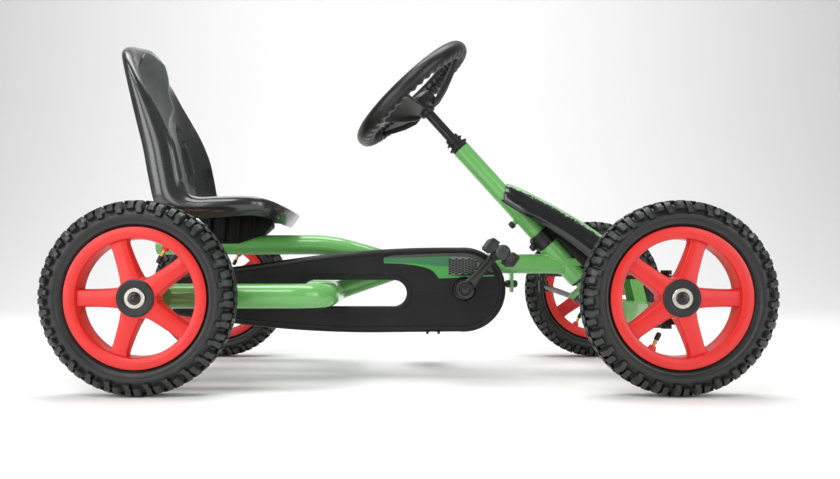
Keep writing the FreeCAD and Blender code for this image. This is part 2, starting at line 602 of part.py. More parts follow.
def knuckle(side):
    """C-shaped steering knuckle with its stub axle, steering arm and tie rod pin."""
    foot = V(FRONT_X, side * KINGPIN_Y, 0)
    pieces = []
    half, top = 16, UPPER_PLATE + PLATE_T
    for low in (LOWER_PLATE, UPPER_PLATE):
        near, far = sorted((side * KINGPIN_Y, side * KNUCKLE_Y))
        pieces.append(rod(foot + V(0, 0, low), foot + V(0, 0, low + PLATE_T), half))
        pieces.append(block(V(FRONT_X - half, near, low), V(FRONT_X + half, far, low + PLATE_T)))
    near, far = sorted((side * (KNUCKLE_Y - 6), side * KNUCKLE_Y))
    pieces.append(block(V(FRONT_X - half, near, LOWER_PLATE), V(FRONT_X + half, far, top)))
    for reach, radius in ((HUB_BACK - 0.6, 10), (23, STUB_R)):
        pieces.append(axle_bar(FRONT_X, side, KNUCKLE_Y - 2 - TRACK / 2, reach, radius))
    tie = V(TIE_END.x, side * TIE_END.y, 0)
    half_arm, lift = V(0, 8, 0), V(0, 0, UPPER_PLATE)
    corners = [foot + half_arm, tie + half_arm, tie - half_arm, foot - half_arm]
    corners = [corner + lift for corner in corners]
    pieces.append(Part.Face(Part.makePolygon(corners + corners[:1])).extrude(V(0, 0, PLATE_T)))
    pieces.append(rod(tie + lift, tie + V(0, 0, top), 2 * TIE_PIN_R))
    pieces.append(rod(tie + V(0, 0, TIE_END.z - 14), tie + V(0, 0, UPPER_PLATE + 3), TIE_PIN_R))
    bore = rod(foot + V(0, 0, 100), foot + V(0, 0, 195), KINGPIN_R + RUN_FIT)
    return fuse(pieces).cut(bore)


def tie_rod(side):
    """Rod from the knuckle's pin to the drop arm, with an eye at each end."""
    outer = V(TIE_END.x, side * TIE_END.y, TIE_END.z)
    inner = on_head(HEAD_L + 47, -26, side * 15)
    eye = rod(inner - DOWN * 5, inner + DOWN * 5, 9)
    socket = rod(outer - V(0, 0, 12), outer + V(0, 0, 12), 11)
    bar = rod(inner, outer, 5.5)
    return fuse([eye, bar, socket]).cut(rod(outer - V(0, 0, 14), outer + V(0, 0, 14), TIE_PIN_R + RUN_FIT))


# ---- seat --------------------------------------------------------------------------------
SEAT_HALF = 139.0                   # half the seat's width
SEAT_WALL = 13.0                    # thickness of its side wings
# side profile of the pan and back: sitting surface from the nose up, then the rear surface down again
SEAT_FRONT = [(-213, 299), (-236, 316), (-268, 322), (-301, 320), (-372, 317), (-412, 323), (-438, 338)]
SEAT_FRONT += [(-452, 362), (-460, 400), (-474, 460), (-490, 515), (-508, 570), (-520, 618)]
SEAT_REAR = [(-529, 622), (-518, 572), (-500, 516), (-484, 461), (-470, 401), (-463, 366), (-447, 331)]
SEAT_REAR += [(-416, 312), (-372, 306), (-301, 309), (-268, 311), (-242, 306), (-224, 292)]
# side profile of a wing: its rim from the nose up, then its outer edge down again
WING_RIM = [(-215, 303), (-236, 319), (-255, 326), (-303, 332), (-374, 329), (-391, 335), (-405, 352)]
WING_RIM += [(-412, 394), (-422, 432), (-438, 473), (-457, 508), (-480, 545), (-505, 588)]
WING_EDGE = [(-516, 590), (-503, 545), (-484, 468), (-472, 421), (-464, 380), (-458, 340), (-450, 308)]
WING_EDGE += [(-430, 293), (-377, 291), (-315, 296), (-276, 302), (-251, 306), (-228, 294)]


def seat_shell():
    """One-piece bucket seat: a curved pan and back between two side wings."""
    inner = SEAT_HALF - SEAT_WALL
    pieces = [side_polygon(SEAT_FRONT + SEAT_REAR, -inner, inner)]
    for near, far in ((-SEAT_HALF, -inner), (inner, SEAT_HALF)):
        pieces.append(side_polygon(WING_RIM + WING_EDGE, near, far))
    return fuse(pieces)


def seat_bracket():
    """Saddle that carries the seat along the rail."""
    profile = [(-396, 250), (-324, 250), (-276, 268), (-256, 286), (-266, 309), (-301, 308.4), (-372, 305.4)]
    saddle = side_polygon(profile + [(-384, 296)], -30, 30)
    return saddle.cut(rod(V(-500, 0, RAIL_Z), V(-150, 0, RAIL_Z), SPINE_R + 0.4))


def seat_clamp():
    """Strap and knob under the rail that lock the seat in place."""
    strap = pipe(V(-388, 0, RAIL_Z), V(-364, 0, RAIL_Z), SPINE_R + 3, SPINE_R + 0.4)
    strap = strap.cut(block(V(-400, -40, RAIL_Z + 1), V(-350, 40, RAIL_Z + 40)))
    stud = rod(V(-376, 0, RAIL_Z - SPINE_R - 2), V(-376, 0, RAIL_Z - SPINE_R - 12), 5)
    knob = rod(V(-376, 0, RAIL_Z - SPINE_R - 8), V(-376, 0, RAIL_Z - SPINE_R - 24), 14)
    return fuse([strap, stud, knob])


# ---- the whole kart ----------------------------------------------------------------------
def build():
    """Every piece by its node name."""
    parts = {}
    for name, side in SIDES.items():
        wheel(parts, "rear", REAR_X, name, side, 36, 63)
        wheel(parts, "front", FRONT_X, name, side, 0, 244)
        parts[f"knuckle_{name}"] = knuckle(side)
        parts[f"tie_rod_{name}"] = tie_rod(side)
        parts[f"pedal_{name}"] = pedal(side)
    makers = [spine_tube, head_tube, head_bushes, clamp_band, rear_fork, axle_bearings, brace_tube]
    makers += [bottom_bracket, crank_bearings, nose_tube, front_plate, pivot_bolt, frame_bolts]
    makers += [front_cover, cover_bracket, drive_chain, guard_screws, crank, rear_axle, rear_axle_nuts]
    makers += [steering_wheel, steering_column, column_collar, drop_arm, axle_beam, kingpins]
    makers += [seat_shell, seat_bracket, seat_clamp]
    for maker in makers:
        parts[maker.__name__] = maker()
    parts["guard_outer"] = guard_half(GUARD_NEAR, GUARD_SPLIT, False)
    parts["guard_inner"] = guard_half(GUARD_FAR, GUARD_SPLIT, True)
    parts["chainring"] = sprocket(CRANK_X, CRANK_Z, RING_TEETH, SPINDLE_R)
    parts["rear_sprocket"] = sprocket(REAR_X, AXLE_Z, COG_TEETH, REAR_SHAFT_R)
    return parts


os.makedirs("parts", exist_ok=True)
for node, shape in build().items():
    shape.exportStep(f"parts/{node}.step")
    box = shape.BoundBox
    sizes = f"{box.XLength:.1f} x {box.YLength:.1f} x {box.ZLength:.1f}"
    print(f"{node}: {len(shape.Solids)} solid(s), {sizes}, {'valid' if shape.isValid() else 'NOT VALID'}")
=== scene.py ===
"""The pedal go-kart's looks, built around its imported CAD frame. Metres, X forward, Y to the left, Z up."""

import json
import math

import bmesh
import bpy
import numpy as np
from mathutils import Matrix, Vector


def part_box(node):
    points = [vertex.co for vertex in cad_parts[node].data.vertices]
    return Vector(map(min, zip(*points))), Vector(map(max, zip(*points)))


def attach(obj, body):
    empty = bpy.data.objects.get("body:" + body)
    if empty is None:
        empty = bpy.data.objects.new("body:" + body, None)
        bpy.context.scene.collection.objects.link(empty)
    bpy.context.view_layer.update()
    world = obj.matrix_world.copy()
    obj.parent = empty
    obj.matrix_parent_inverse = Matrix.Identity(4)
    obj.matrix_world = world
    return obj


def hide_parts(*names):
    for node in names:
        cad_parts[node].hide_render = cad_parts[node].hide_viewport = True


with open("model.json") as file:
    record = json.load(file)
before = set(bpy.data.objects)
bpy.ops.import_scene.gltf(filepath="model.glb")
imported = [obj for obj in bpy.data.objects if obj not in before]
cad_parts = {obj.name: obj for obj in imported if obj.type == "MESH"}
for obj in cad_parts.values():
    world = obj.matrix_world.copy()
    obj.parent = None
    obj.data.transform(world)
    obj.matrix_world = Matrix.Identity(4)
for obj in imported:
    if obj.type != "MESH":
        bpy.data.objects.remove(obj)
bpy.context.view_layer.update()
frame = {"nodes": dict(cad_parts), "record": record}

MM = 0.001
SIDES = {"right": -1, "left": 1}
UP = Vector((0, 0, 1))
FINISHES = {}       # every material by its name, which for a CAD slot is the slot's name


# ---- small tools ----
def srgb(red, green, blue):
    """A colour given as 0-255 screen values, as the linear values that shaders take."""
    def linear(value):
        value /= 255
        return value / 12.92 if value <= 0.04045 else ((value + 0.055) / 1.055) ** 2.4
    return (linear(red), linear(green), linear(blue), 1.0)


def centre_of(node):
    """The middle of a CAD node's box."""
    low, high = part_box(node)
    return (low + high) / 2


def mm(pairs):
    """Pairs of millimetres as metres."""
    return [(first * MM, second * MM) for first, second in pairs]


def on_circle(radius, step, count):
    """X and Y of one of the equal steps round a circle."""
    turn = 2 * math.pi * step / count
    return radius * math.cos(turn), radius * math.sin(turn)


def add_object(name, data):
    """A new object in the scene."""
    added = bpy.data.objects.new(name, data)
    bpy.context.scene.collection.objects.link(added)
    return added


def make_mesh(name, points, faces, material):
    """A new smooth mesh object from points and faces."""
    mesh = bpy.data.meshes.new(name)
    mesh.from_pydata([tuple(p) for p in points], [], faces)
    mesh.validate()
    mesh.materials.append(material)
    mesh.polygons.foreach_set("use_smooth", [True] * len(mesh.polygons))
    return add_object(name, mesh)


def grid_faces(rows, columns, wrap_rows=False, wrap_columns=False):
    """Quads over a grid of points that was laid down row by row."""
    faces = []
    for i in range(rows if wrap_rows else rows - 1):
        for j in range(columns if wrap_columns else columns - 1):
            i2, j2 = (i + 1) % rows, (j + 1) % columns
            faces.append((i * columns + j, i * columns + j2, i2 * columns + j2, i2 * columns + j))
    return faces


def edit(piece, change):
    """Makes one change to a piece's mesh."""
    shape = bmesh.new()
    shape.from_mesh(piece.data)
    shape.verts.ensure_lookup_table()
    change(shape)
    shape.to_mesh(piece.data)
    shape.free()
    return piece


def face_outward(shape):
    """A change for edit: every face points out of the closed mesh."""
    bmesh.ops.recalc_face_normals(shape, faces=shape.faces)


def modify(piece, kind, **settings):
    """Adds a modifier and applies it to the mesh."""
    step = piece.modifiers.new(kind.lower(), kind)
    for key, value in settings.items():
        setattr(step, key, value)
    graph = bpy.context.evaluated_depsgraph_get()
    result = bpy.data.meshes.new_from_object(piece.evaluated_get(graph))
    piece.modifiers.clear()
    old, piece.data = piece.data, result
    bpy.data.meshes.remove(old)
    return piece


def crisp(piece, angle):
    """Smooth shading that keeps the edges sharper than an angle, in degrees."""
    def sharpen(shape):
        for edge in shape.edges:
            turn = edge.calc_face_angle(0) if len(edge.link_faces) == 2 else 0
            edge.smooth = turn < math.radians(angle)
    piece.data.polygons.foreach_set("use_smooth", [True] * len(piece.data.polygons))
    return edit(piece, sharpen)


def join(name, pieces):
    """Several mesh objects as one, keeping their materials."""
    shape = bmesh.new()
    materials = []
    for piece in pieces:
        materials += [m for m in piece.data.materials if m not in materials]
        index = [materials.index(m) for m in piece.data.materials]
        start = len(shape.faces)
        shape.from_mesh(piece.data)
        shape.faces.ensure_lookup_table()
        for face in shape.faces[start:]:
            face.material_index = index[face.material_index]
        bpy.data.objects.remove(piece)
    mesh = bpy.data.meshes.new(name)
    shape.to_mesh(mesh)
    shape.free()
    for material in materials:
        mesh.materials.append(material)
    return add_object(name, mesh)


def frame_of(axis):
    """A rotation whose Z lies along an axis."""
    return Vector(axis).to_track_quat("Z", "Y").to_matrix()


def tube(name, points, rings, material, closed=False):
    """A tube through rings of points: joined into a loop if closed, else capped at both ends."""
    columns = len(points) // rings
    faces = grid_faces(rings, columns, wrap_rows=closed, wrap_columns=True)

    def finish(shape):
        for first in () if closed else (0, (rings - 1) * columns):
            shape.faces.new([shape.verts[first + k] for k in range(columns)])
        face_outward(shape)
    return edit(make_mesh(name, points, faces, material), finish)


def lathe(name, profile, centre, axis, material, steps=48, closed=True):
    """A profile of (radius, distance along the axis) turned round that axis."""
    turn = frame_of(axis)
    points = [centre + turn @ Vector((*on_circle(radius, k, steps), along))
              for radius, along in profile for k in range(steps)]
    return crisp(tube(name, points, len(profile), material, closed), 28)


def bar(name, start, end, radius, material, end_radius=None, steps=24):
    """A round bar between two points, with softened ends."""
    length = (end - start).length
    last = radius if end_radius is None else end_radius
    bevel = min(radius, last) * 0.12
    profile = [(radius - bevel, 0), (radius, bevel), (last, length - bevel), (last - bevel, length)]
    return lathe(name, profile, start, end - start, material, steps, closed=False)


def soften(piece, width, angle):
    """Rounds the edges sharper than an angle, in degrees."""
    limit = math.radians(angle)
    return modify(piece, "BEVEL", width=width, segments=2, limit_method="ANGLE", angle_limit=limit)


def prism(name, outline, low, high, place, material, bevel=0.0):
    """A flat outline pulled along local Z between two heights, then placed by a matrix."""
    count = len(outline)
    points = [place @ Vector((x, y, z)) for z in (low, high) for x, y in outline]
    faces = [tuple(range(count))[::-1], tuple(range(count, 2 * count))]
    faces += [(k, (k + 1) % count, count + (k + 1) % count, count + k) for k in range(count)]
    piece = edit(make_mesh(name, points, faces, material), face_outward)
    if bevel:
        soften(piece, bevel, 30)
    return crisp(piece, 40)


def upright(y=0.0):
    """A matrix that stands a flat outline up in X and Z, its thickness towards -Y from y, in mm."""
    return Matrix(((1, 0, 0, 0), (0, 0, -1, y * MM), (0, 1, 0, 0), (0, 0, 0, 1)))


def thicken(piece, thickness, front):
    """Adds thickness behind the side of a sheet that looks mostly along a direction."""
    ahead = sum(face.normal.dot(front) * face.area for face in piece.data.polygons)
    return modify(piece, "SOLIDIFY", thickness=thickness, offset=-1.0 if ahead > 0 else 1.0)


def show(piece, body, slot, *replaced):
    """Puts a finished piece on its body and hides the CAD nodes that it stands for; its slot is not used."""
    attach(piece, body)
    if replaced:
        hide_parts(*replaced)
    return piece


# ---- materials ----
def fill(node, values):
    """Sets a node's inputs by name."""
    for key, value in values.items():
        node.inputs[key].default_value = value
    return node


class Finish:
    """A node material, with short ways to add grain, colour variation and bumps."""

    def __init__(self, name, colour, roughness, metallic=0.0, coat=0.0, coat_roughness=0.1, specular=0.5):
        self.material = FINISHES[name] = bpy.data.materials.new(name)
        self.material.use_nodes = True
        self.tree = self.material.node_tree
        self.link = self.tree.links.new
        self.shader = fill(self.tree.nodes["Principled BSDF"], {
            "Base Color": colour, "Roughness": roughness, "Metallic": metallic, "Coat Weight": coat,
            "Coat Roughness": coat_roughness, "Specular IOR Level": specular})
        self.place = self.node("ShaderNodeTexCoord").outputs["Object"]

    def node(self, kind, values=None, **settings):
        """A new node with its input values and settings."""
        made = self.tree.nodes.new(kind)
        for key, value in settings.items():
            setattr(made, key, value)
        return fill(made, values or {})

    def attribute(self, name):
        """The value of a mesh attribute."""
        return self.node("ShaderNodeAttribute", attribute_name=name).outputs["Fac"]

    def noise(self, scale, detail=4.0, rough=0.5, stretch=None):
        """A noise value; scale counts its cells in a metre."""
        texture = self.node("ShaderNodeTexNoise", {"Scale": scale, "Detail": detail, "Roughness": rough})
        source = self.place
        if stretch:
            mapping = self.node("ShaderNodeMapping", {"Scale": stretch})
            self.link(source, mapping.inputs["Vector"])
            source = mapping.outputs["Vector"]
        self.link(source, texture.inputs["Vector"])
        return texture.outputs["Fac"]

    def cells(self, scale):
        """A cell pattern's distance value."""
        texture = self.node("ShaderNodeTexVoronoi", {"Scale": scale})
        self.link(self.place, texture.inputs["Vector"])
        return texture.outputs["Distance"]

    def ramp(self, value, low, high, dark=0.0, light=1.0):
        """Spreads a value from low-high to dark-light."""
        scale = self.node("ShaderNodeMapRange",
                          {"From Min": low, "From Max": high, "To Min": dark, "To Max": light})
        self.link(value, scale.inputs["Value"])
        return scale.outputs["Result"]

    def tint(self, share, other):
        """Mixes a share of another colour into the base colour."""
        blend = self.node("ShaderNodeMix", {"B": other}, data_type="RGBA")
        self.link(share, blend.inputs["Factor"])
        base = self.shader.inputs["Base Color"]
        if base.links:
            self.link(base.links[0].from_socket, blend.inputs["A"])
        else:
            blend.inputs["A"].default_value = base.default_value
        self.link(blend.outputs["Result"], base)

    def vary_colour(self, value, other, low=0.35, high=0.7):
        """The base colour drifts towards another one as a value goes from low to high."""
        self.tint(self.ramp(value, low, high), other)

    def vary_roughness(self, value, low, high):
        """Roughness between two values."""
        self.link(self.ramp(value, 0.3, 0.7, low, high), self.shader.inputs["Roughness"])

    def add_bump(self, value, depth):
        """Relief of a depth in metres; comes last, and gives the finished material."""
        bump = self.node("ShaderNodeBump", {"Strength": 1.0, "Distance": depth})
        self.link(value, bump.inputs["Height"])
        self.link(bump.outputs["Normal"], self.shader.inputs["Normal"])
        return self.material


def green_paint():
    """Glossy powder coat with a slight orange peel."""
    finish = Finish("green_paint", srgb(108, 180, 95), 0.28, coat=0.6, coat_roughness=0.06)
    finish.vary_colour(finish.noise(9), srgb(100, 171, 88))
    finish.vary_roughness(finish.noise(14), 0.24, 0.34)
    return finish.add_bump(finish.noise(420, 2), 0.00006)


def red_plastic():
    """Moulded red nylon of the rims."""
    finish = Finish("red_plastic", srgb(214, 38, 33), 0.36)
    finish.vary_colour(finish.noise(12), srgb(204, 32, 29))
    finish.vary_roughness(finish.noise(30), 0.3, 0.42)
    return finish.add_bump(finish.noise(900, 2), 0.00004)


def tyre_rubber():
    """Rubber with painted shade and highlight by the tread's height (0 grooves, 0.5 bare wall, 1 lugs), and
    with edges lightened as wear and painted highlight.
    """
    finish = Finish("tyre_rubber", srgb(11, 12, 11), 0.4)
    # painted shade and highlight: darkest in the grooves, lighter on the bare wall, lightest on the lug tops
    raised = finish.attribute("raised")
    finish.vary_colour(raised, srgb(22, 24, 23), 0.0, 0.5)
    finish.vary_colour(raised, srgb(28, 31, 29), 0.5, 1.0)
    dusty = finish.noise(35, 6, 0.7)
    finish.vary_colour(dusty, srgb(30, 32, 30), 0.55, 0.95)
    finish.vary_roughness(finish.noise(60), 0.33, 0.5)
    # sharp edges lightened: partly rubbed wear, partly painted highlight on the lugs
    edge = finish.node("ShaderNodeNewGeometry").outputs["Pointiness"]
    finish.tint(finish.ramp(edge, 0.53, 0.62, 0.0, 0.45), srgb(70, 74, 70))
    return finish.add_bump(finish.noise(1500, 3), 0.00008)


def moulded(name, shade, roughness, grain=1800.0, depth=0.00005, coat=0.0, specular=0.5):
    """Plastic with a fine moulded grain."""
    finish = Finish(name, srgb(*shade), roughness, coat=coat, specular=specular)
    finish.vary_colour(finish.noise(18, 5), srgb(*(value + 7 for value in shade)))
    finish.vary_roughness(finish.noise(40), roughness - 0.04, roughness + 0.07)
    return finish.add_bump(finish.cells(grain), depth)


def steel(name, colour, roughness):
    """Turned or drawn steel with fine lines."""
    finish = Finish(name, colour, roughness, metallic=1.0)
    lines = finish.noise(900, 2, stretch=(1, 0.05, 1))
    finish.vary_roughness(lines, roughness - 0.06, roughness + 0.1)
    finish.vary_colour(finish.noise(70), tuple(value * 0.8 for value in colour[:3]) + (1.0,))
    return finish.add_bump(lines, 0.00003)


GREEN = green_paint()
RED = red_plastic()
RUBBER = tyre_rubber()
GUARD = moulded("guard_plastic", (9, 10, 10), 0.4, specular=0.35)
SEAT_OUT = moulded("seat_plastic", (24, 27, 25), 0.24, grain=500.0, depth=0.00001, coat=0.7)
SEAT_IN = moulded("seat_panel_plastic", (66, 70, 68), 0.6, grain=900.0, depth=0.00014)
GLOSS = moulded("cover_gloss", (9, 10, 10), 0.14, grain=400.0, depth=0.00001, coat=0.5)
GRIP = moulded("grip_plastic", (11, 12, 11), 0.33)
SATIN = moulded("black_plastic", (16, 17, 17), 0.38)
HUB = moulded("hub_black", (11, 12, 12), 0.3)
PEDAL = moulded("pedal_plastic", (40, 43, 41), 0.36, grain=1100.0, depth=0.0001)
BLACK_STEEL = moulded("black_steel", (15, 16, 16), 0.3, grain=500.0, depth=0.00003, coat=0.3)
ZINC = steel("nut_steel", srgb(205, 203, 192), 0.3)
BRASS = steel("valve_brass", srgb(206, 168, 92), 0.28)
# painted shade: a darker copy of the matt panel plastic, for the seat's recesses and slot
SEAT_RECESS_SHADE = moulded("seat_recess_plastic", (42, 46, 44), 0.5, grain=900.0, depth=0.0001)
SADDLE = moulded("saddle_black", (12, 13, 13), 0.6, specular=0.2)
SEAM = moulded("sticker_black", (16, 17, 16), 0.4)
LEAF = moulded("sticker_leaf", (64, 150, 66), 0.34, grain=700.0, depth=0.00001)
FERN = moulded("sticker_fern", (52, 112, 74), 0.34, grain=700.0, depth=0.00001)
OLIVE = moulded("sticker_olive", (62, 66, 56), 0.36, grain=700.0, depth=0.00001)
MESH_GREY = moulded("sticker_grey", (112, 117, 114), 0.34, grain=700.0, depth=0.00001)


def decal_finish():
    """Light green print whose edges break up into black and white flecks."""
    finish = Finish("cover_decal", srgb(122, 186, 112), 0.24, coat=0.3)
    total = finish.node("ShaderNodeMath", operation="ADD")
    finish.link(finish.noise(190, 5, 0.75), total.inputs[0])
    finish.link(finish.attribute("edge"), total.inputs[1])
    finish.tint(finish.ramp(total.outputs[0], 1.02, 1.04), srgb(196, 202, 196))
    finish.tint(finish.ramp(total.outputs[0], 1.06, 1.08), srgb(16, 18, 17))
    return finish.add_bump(finish.noise(300, 2), 0.00001)


DECAL = decal_finish()


def dress_cad_nodes():
    """Gives each carried-over CAD node the finish of its slot; three steels are worn by no new piece."""
    steel("bolt_steel", srgb(70, 70, 70), 0.34)
    steel("bearing_steel", srgb(190, 190, 188), 0.28)
    steel("drive_steel", srgb(120, 116, 110), 0.38)
    for row in frame["record"]["subparts"]:
        slots = frame["nodes"][row["node"]].data.materials
        slots.clear()
        slots.append(FINISHES[row["material_slot"]])


# ---- wheels ----
LUGS, LUG_RISE = 56, 6.4
# radii: where lugs point away from, where the bare wall ends, and where the lugs end, mm
RISE_FROM, WALL_END, LUG_TIPS = 128, 133.5, 155.8
# radius, distance outward, kind of tread there: 0 bare, 1 every other lug, 2 every lug, 3 middle lugs
TYRE_HALF = [
    (112.7, 17.6, 0), (114.5, 19.4, 0), (116.2, 21.4, 0), (117, 22.9, 0), (118.2, 23, 0), (120.5, 24.4, 0),
    (122.6, 25.6, 0), (123.4, 26.6, 0), (124.6, 26.8, 0), (125.4, 26, 0), (128.5, 26.6, 0), (132, 26.7, 0),
    (133, 26.2, 0), (134, 25.6, 1), (138.6, 23.8, 1), (139.4, 23.4, 2), (142.8, 21.4, 2), (146, 18.6, 2),
    (148, 15.6, 2), (148.8, 12.8, 2), (149.1, 11.4, 0), (149.4, 9.6, 0), (149.5, 8.6, 3), (149.6, 1.6, 3),
    (149.6, 0.8, 0),
]
VALVE_INBOARD = 6       # how far the valve sits inboard of the rim's middle, mm
# shares of one lug's pitch, and how raised the tread is there
LUG_STEPS = ((0, 0), (0.05, 0), (0.12, 1), (0.38, 1), (0.62, 1), (0.69, 0))


def tyre_points(side):
    """Points of a knobbly tyre whose axle lies along Y, how raised each is (which sets the rubber's painted
    shade), and the number of rings.
    """
    mirrored = [(r, -out, kind) for r, out, kind in reversed(TYRE_HALF)]
    profile = TYRE_HALF + mirrored + [(106, -16, 0), (106, 16, 0)]
    points, shade_by_height = [], []
    for r, out, kind in profile:
        tilt = 0.5 if kind == 3 else 0.0
        away = Vector((r - RISE_FROM, out * 1.35)).normalized()
        for lug in range(LUGS):
            for share, raised in LUG_STEPS:
                high = (0, lug % 2, 1, 0.92)[kind] * raised * LUG_RISE
                lean = tilt + 0.012 * abs(out) * (1 if lug % 2 else -1) * (raised - 0.5) * (kind == 2)
                turn = 2 * math.pi * (lug + share + lean) / LUGS
                reach = min(r + away.x * high, LUG_TIPS)
                points.append((reach * math.cos(turn), side * (out + away.y * high), reach * math.sin(turn)))
                shade_by_height.append(0.5 if r < WALL_END else high / LUG_RISE)
    return points, shade_by_height, len(profile)


def build_tyre(tag, body, side, centre):
    """Knobbly tyre, with its tread's height as an attribute from which the rubber paints shade in the
    grooves and highlight on the lugs.
    """
    points, shade_by_height, rings = tyre_points(side)
    placed = [centre + Vector(p) * MM for p in points]
    piece = crisp(tube(f"tread_tyre_{tag}", placed, rings, RUBBER, closed=True), 32)
    piece.data.attributes.new("raised", "FLOAT", "POINT").data.foreach_set("value", shade_by_height)
    show(piece, body, "tyre_rubber", f"tyre_{tag}")


def spoke_piece(centre, side, angle):
    """One spoke: narrower towards the rim, its front face slightly crowned."""
    # radius, width, front and back, mm
    stations = ((24, 33, 18, -8), (31, 31, 17.8, -7), (42, 28, 17.2, -4), (60, 26, 16.2, -1),
                (80, 25, 15.2, 1), (88, 26, 14.8, 1), (92.5, 29, 14.5, 0), (96, 33, 14.2, -1))
    points = []
    for radius, width, front, back in stations:
        half, edge = width / 2, 2.2
        section = [(-half, front - edge), (-half + edge * 0.4, front - edge * 0.35), (-half + edge, front)]
        section += [(0, front + 0.5), (half - edge, front), (half - edge * 0.4, front - edge * 0.35)]
        section += [(half, front - edge), (half + 1.8, back), (-half - 1.8, back)]
        for across, out in section:
            points.append(Vector((radius, side * out, across)))
    turn = Matrix.Rotation(-math.radians(angle), 3, "Y")
    placed = [centre + turn @ p * MM for p in points]
    return crisp(tube("spoke", placed, len(stations), RED), 30)


def build_rim(tag, body, side, centre, first_spoke, valve_foot, outwards):
    """Red rim: a hollow barrel, the hub, five spokes and the boss for the valve."""
    axis = Vector((0, side, 0))
    half = [(93, 0), (93, 12), (93.6, 17.5), (94.8, 20.6), (97, 22), (104, 22.6), (110, 22.4)]
    half += [(112, 21.6), (112.5, 20), (111.8, 18.6), (105.5, 17.2)]
    barrel = half + [(r, -out) for r, out in reversed(half[1:])]
    hub = [(9, 18), (29.5, 18), (31.5, 17), (33, 13), (34.5, 2), (34, -14), (30, -26), (28, -28), (9, -28)]
    pieces = [lathe("barrel", mm(barrel), centre, axis, RED, 120)]
    pieces.append(lathe("hub", mm(hub), centre, axis, RED, 72))
    pieces += [spoke_piece(centre, side, first_spoke + 72 * k) for k in range(5)]
    boss_top, boss_foot = valve_foot + outwards * 0.0945, valve_foot + outwards * 0.085
    pieces.append(bar("boss", boss_top, boss_foot, 0.0075, RED, 0.0052))
    show(join(f"spoked_rim_{tag}", pieces), body, "red_plastic", f"rim_{tag}")


def build_valve(tag, body, valve_foot, outwards):
    """Brass valve stem with its collar, and the black ribbed cap."""
    stem = bar("stem", valve_foot + outwards * 0.089, valve_foot + outwards * 0.071, 0.0028, BRASS)
    collar = bar("collar", valve_foot + outwards * 0.0805, valve_foot + outwards * 0.0775, 0.0036, BRASS)
    show(join(f"valve_stem_{tag}", [stem, collar]), body, "valve_brass", f"valve_{tag}")
    rings = [(3.6, 0), (4.3, 0.6), (4.3, 2), (4, 2.4), (4.3, 2.8), (4.3, 5), (4, 5.4), (4.3, 5.8), (4.2, 10)]
    rings += [(3.6, 12.2), (2.2, 13)]
    cap_foot = valve_foot + outwards * 0.075
    cap = lathe(f"valve_cap_{tag}", mm(rings), cap_foot, -outwards, HUB, 24, closed=False)
    show(cap, body, "hub_black")


def build_hub_trim(tag, body, nut_body, side, centre, nut_node):
    """Black hub cover, plated washer and domed nut, all on the wheel's outer side."""
    axis = Vector((0, side, 0))

    def ring(name, profile, material, closed=True):
        return lathe(name, mm(profile), centre, axis, material, 64, closed)
    cover = [(9.6, 18.1), (29.6, 18.1), (30, 18.8), (29.6, 20), (28.2, 20.8), (20, 21), (17.6, 20.4)]
    cover += [(9.6, 20.4)]
    show(ring(f"hub_disc_{tag}", cover, HUB), body, "hub_black", f"hub_cover_{tag}")
    washer = [(9.8, 20.6), (15.4, 20.6), (16.2, 21.3), (16.2, 22.4), (15.4, 23), (10.8, 23), (9.8, 22.4)]
    piece = ring(f"washer_{tag}", washer, ZINC)
    show(piece, nut_body, "nut_steel", *([nut_node] if nut_node else []))
    nut = [(9.4, 20.8), (9.4, 22.6), (8.6, 23.4), (8.3, 25), (7.4, 26.3), (5.6, 26.9), (4.8, 26.2)]
    nut += [(3.6, 26.2), (3, 27.2), (0.4, 27.5)]
    show(ring(f"cap_nut_{tag}", nut, BLACK_STEEL, closed=False), nut_body, "black_steel")


def build_wheels():
    """All four wheels; the front ones turn on their knuckles, the right rear one with its axle."""
    for end in ("rear", "front"):
        for name, side in SIDES.items():
            tag = f"{end}_{name}"
            centre = centre_of(f"tyre_{tag}")
            rear_body = "rear_drive" if side < 0 else "rear_wheel_left"
            wheel_body = rear_body if end == "rear" else f"front_wheel_{name}"
            nut_body = "rear_drive" if end == "rear" else f"knuckle_{name}"
            nut_node = f"wheel_nut_{tag}" if end == "front" else "rear_axle_nuts" if side < 0 else None
            first_spoke, valve_angle = (36, 63) if end == "rear" else (0, 244)
            build_tyre(tag, wheel_body, side, centre)
            turn = math.radians(valve_angle)
            outwards = Vector((math.cos(turn), 0, math.sin(turn)))
            valve_foot = centre - Vector((0, side * VALVE_INBOARD * MM, 0))
            build_rim(tag, wheel_body, side, centre, first_spoke, valve_foot, outwards)
            build_valve(tag, wheel_body, valve_foot, outwards)
            build_hub_trim(tag, wheel_body, nut_body, side, centre, nut_node)


# ---- seat ----
# half width; then X and Z of the rim, of the sitting line and of the skirt's edge; nose to top, mm
SEAT_STATIONS = (
    (1, -212, 305, -212, 305, -230, 283), (40, -215, 308, -215, 308, -233, 284),
    (80, -227, 316, -227, 317, -242, 288), (112, -247, 325, -251, 322, -257, 295),
    (130, -272, 331, -280, 321, -281, 298), (138, -303, 332, -308, 319, -312, 296),
    (140, -338, 331, -345, 317, -348, 293), (140, -372, 330, -384, 317, -390, 292),
    (140, -391, 336, -416, 323, -428, 295), (140, -404, 353, -439, 339, -450, 318),
    (140, -412, 392, -454, 372, -461, 362), (140, -421, 431, -463, 410, -471, 416),
    (140, -438, 473, -473, 454, -482, 461), (139, -457, 508, -485, 496, -493, 506),
    (134, -476, 542, -497, 538, -504, 548), (124, -489, 569, -500, 566, -513, 576),
    (108, -498, 590, -489, 588, -520, 595), (84, -505, 606, -486, 604, -525, 608),
    (56, -511, 618, -489, 616, -529, 618), (29, -516, 625.5, -496, 624, -530, 625),
    (1, -519, 629, -508, 629, -527, 629),
)
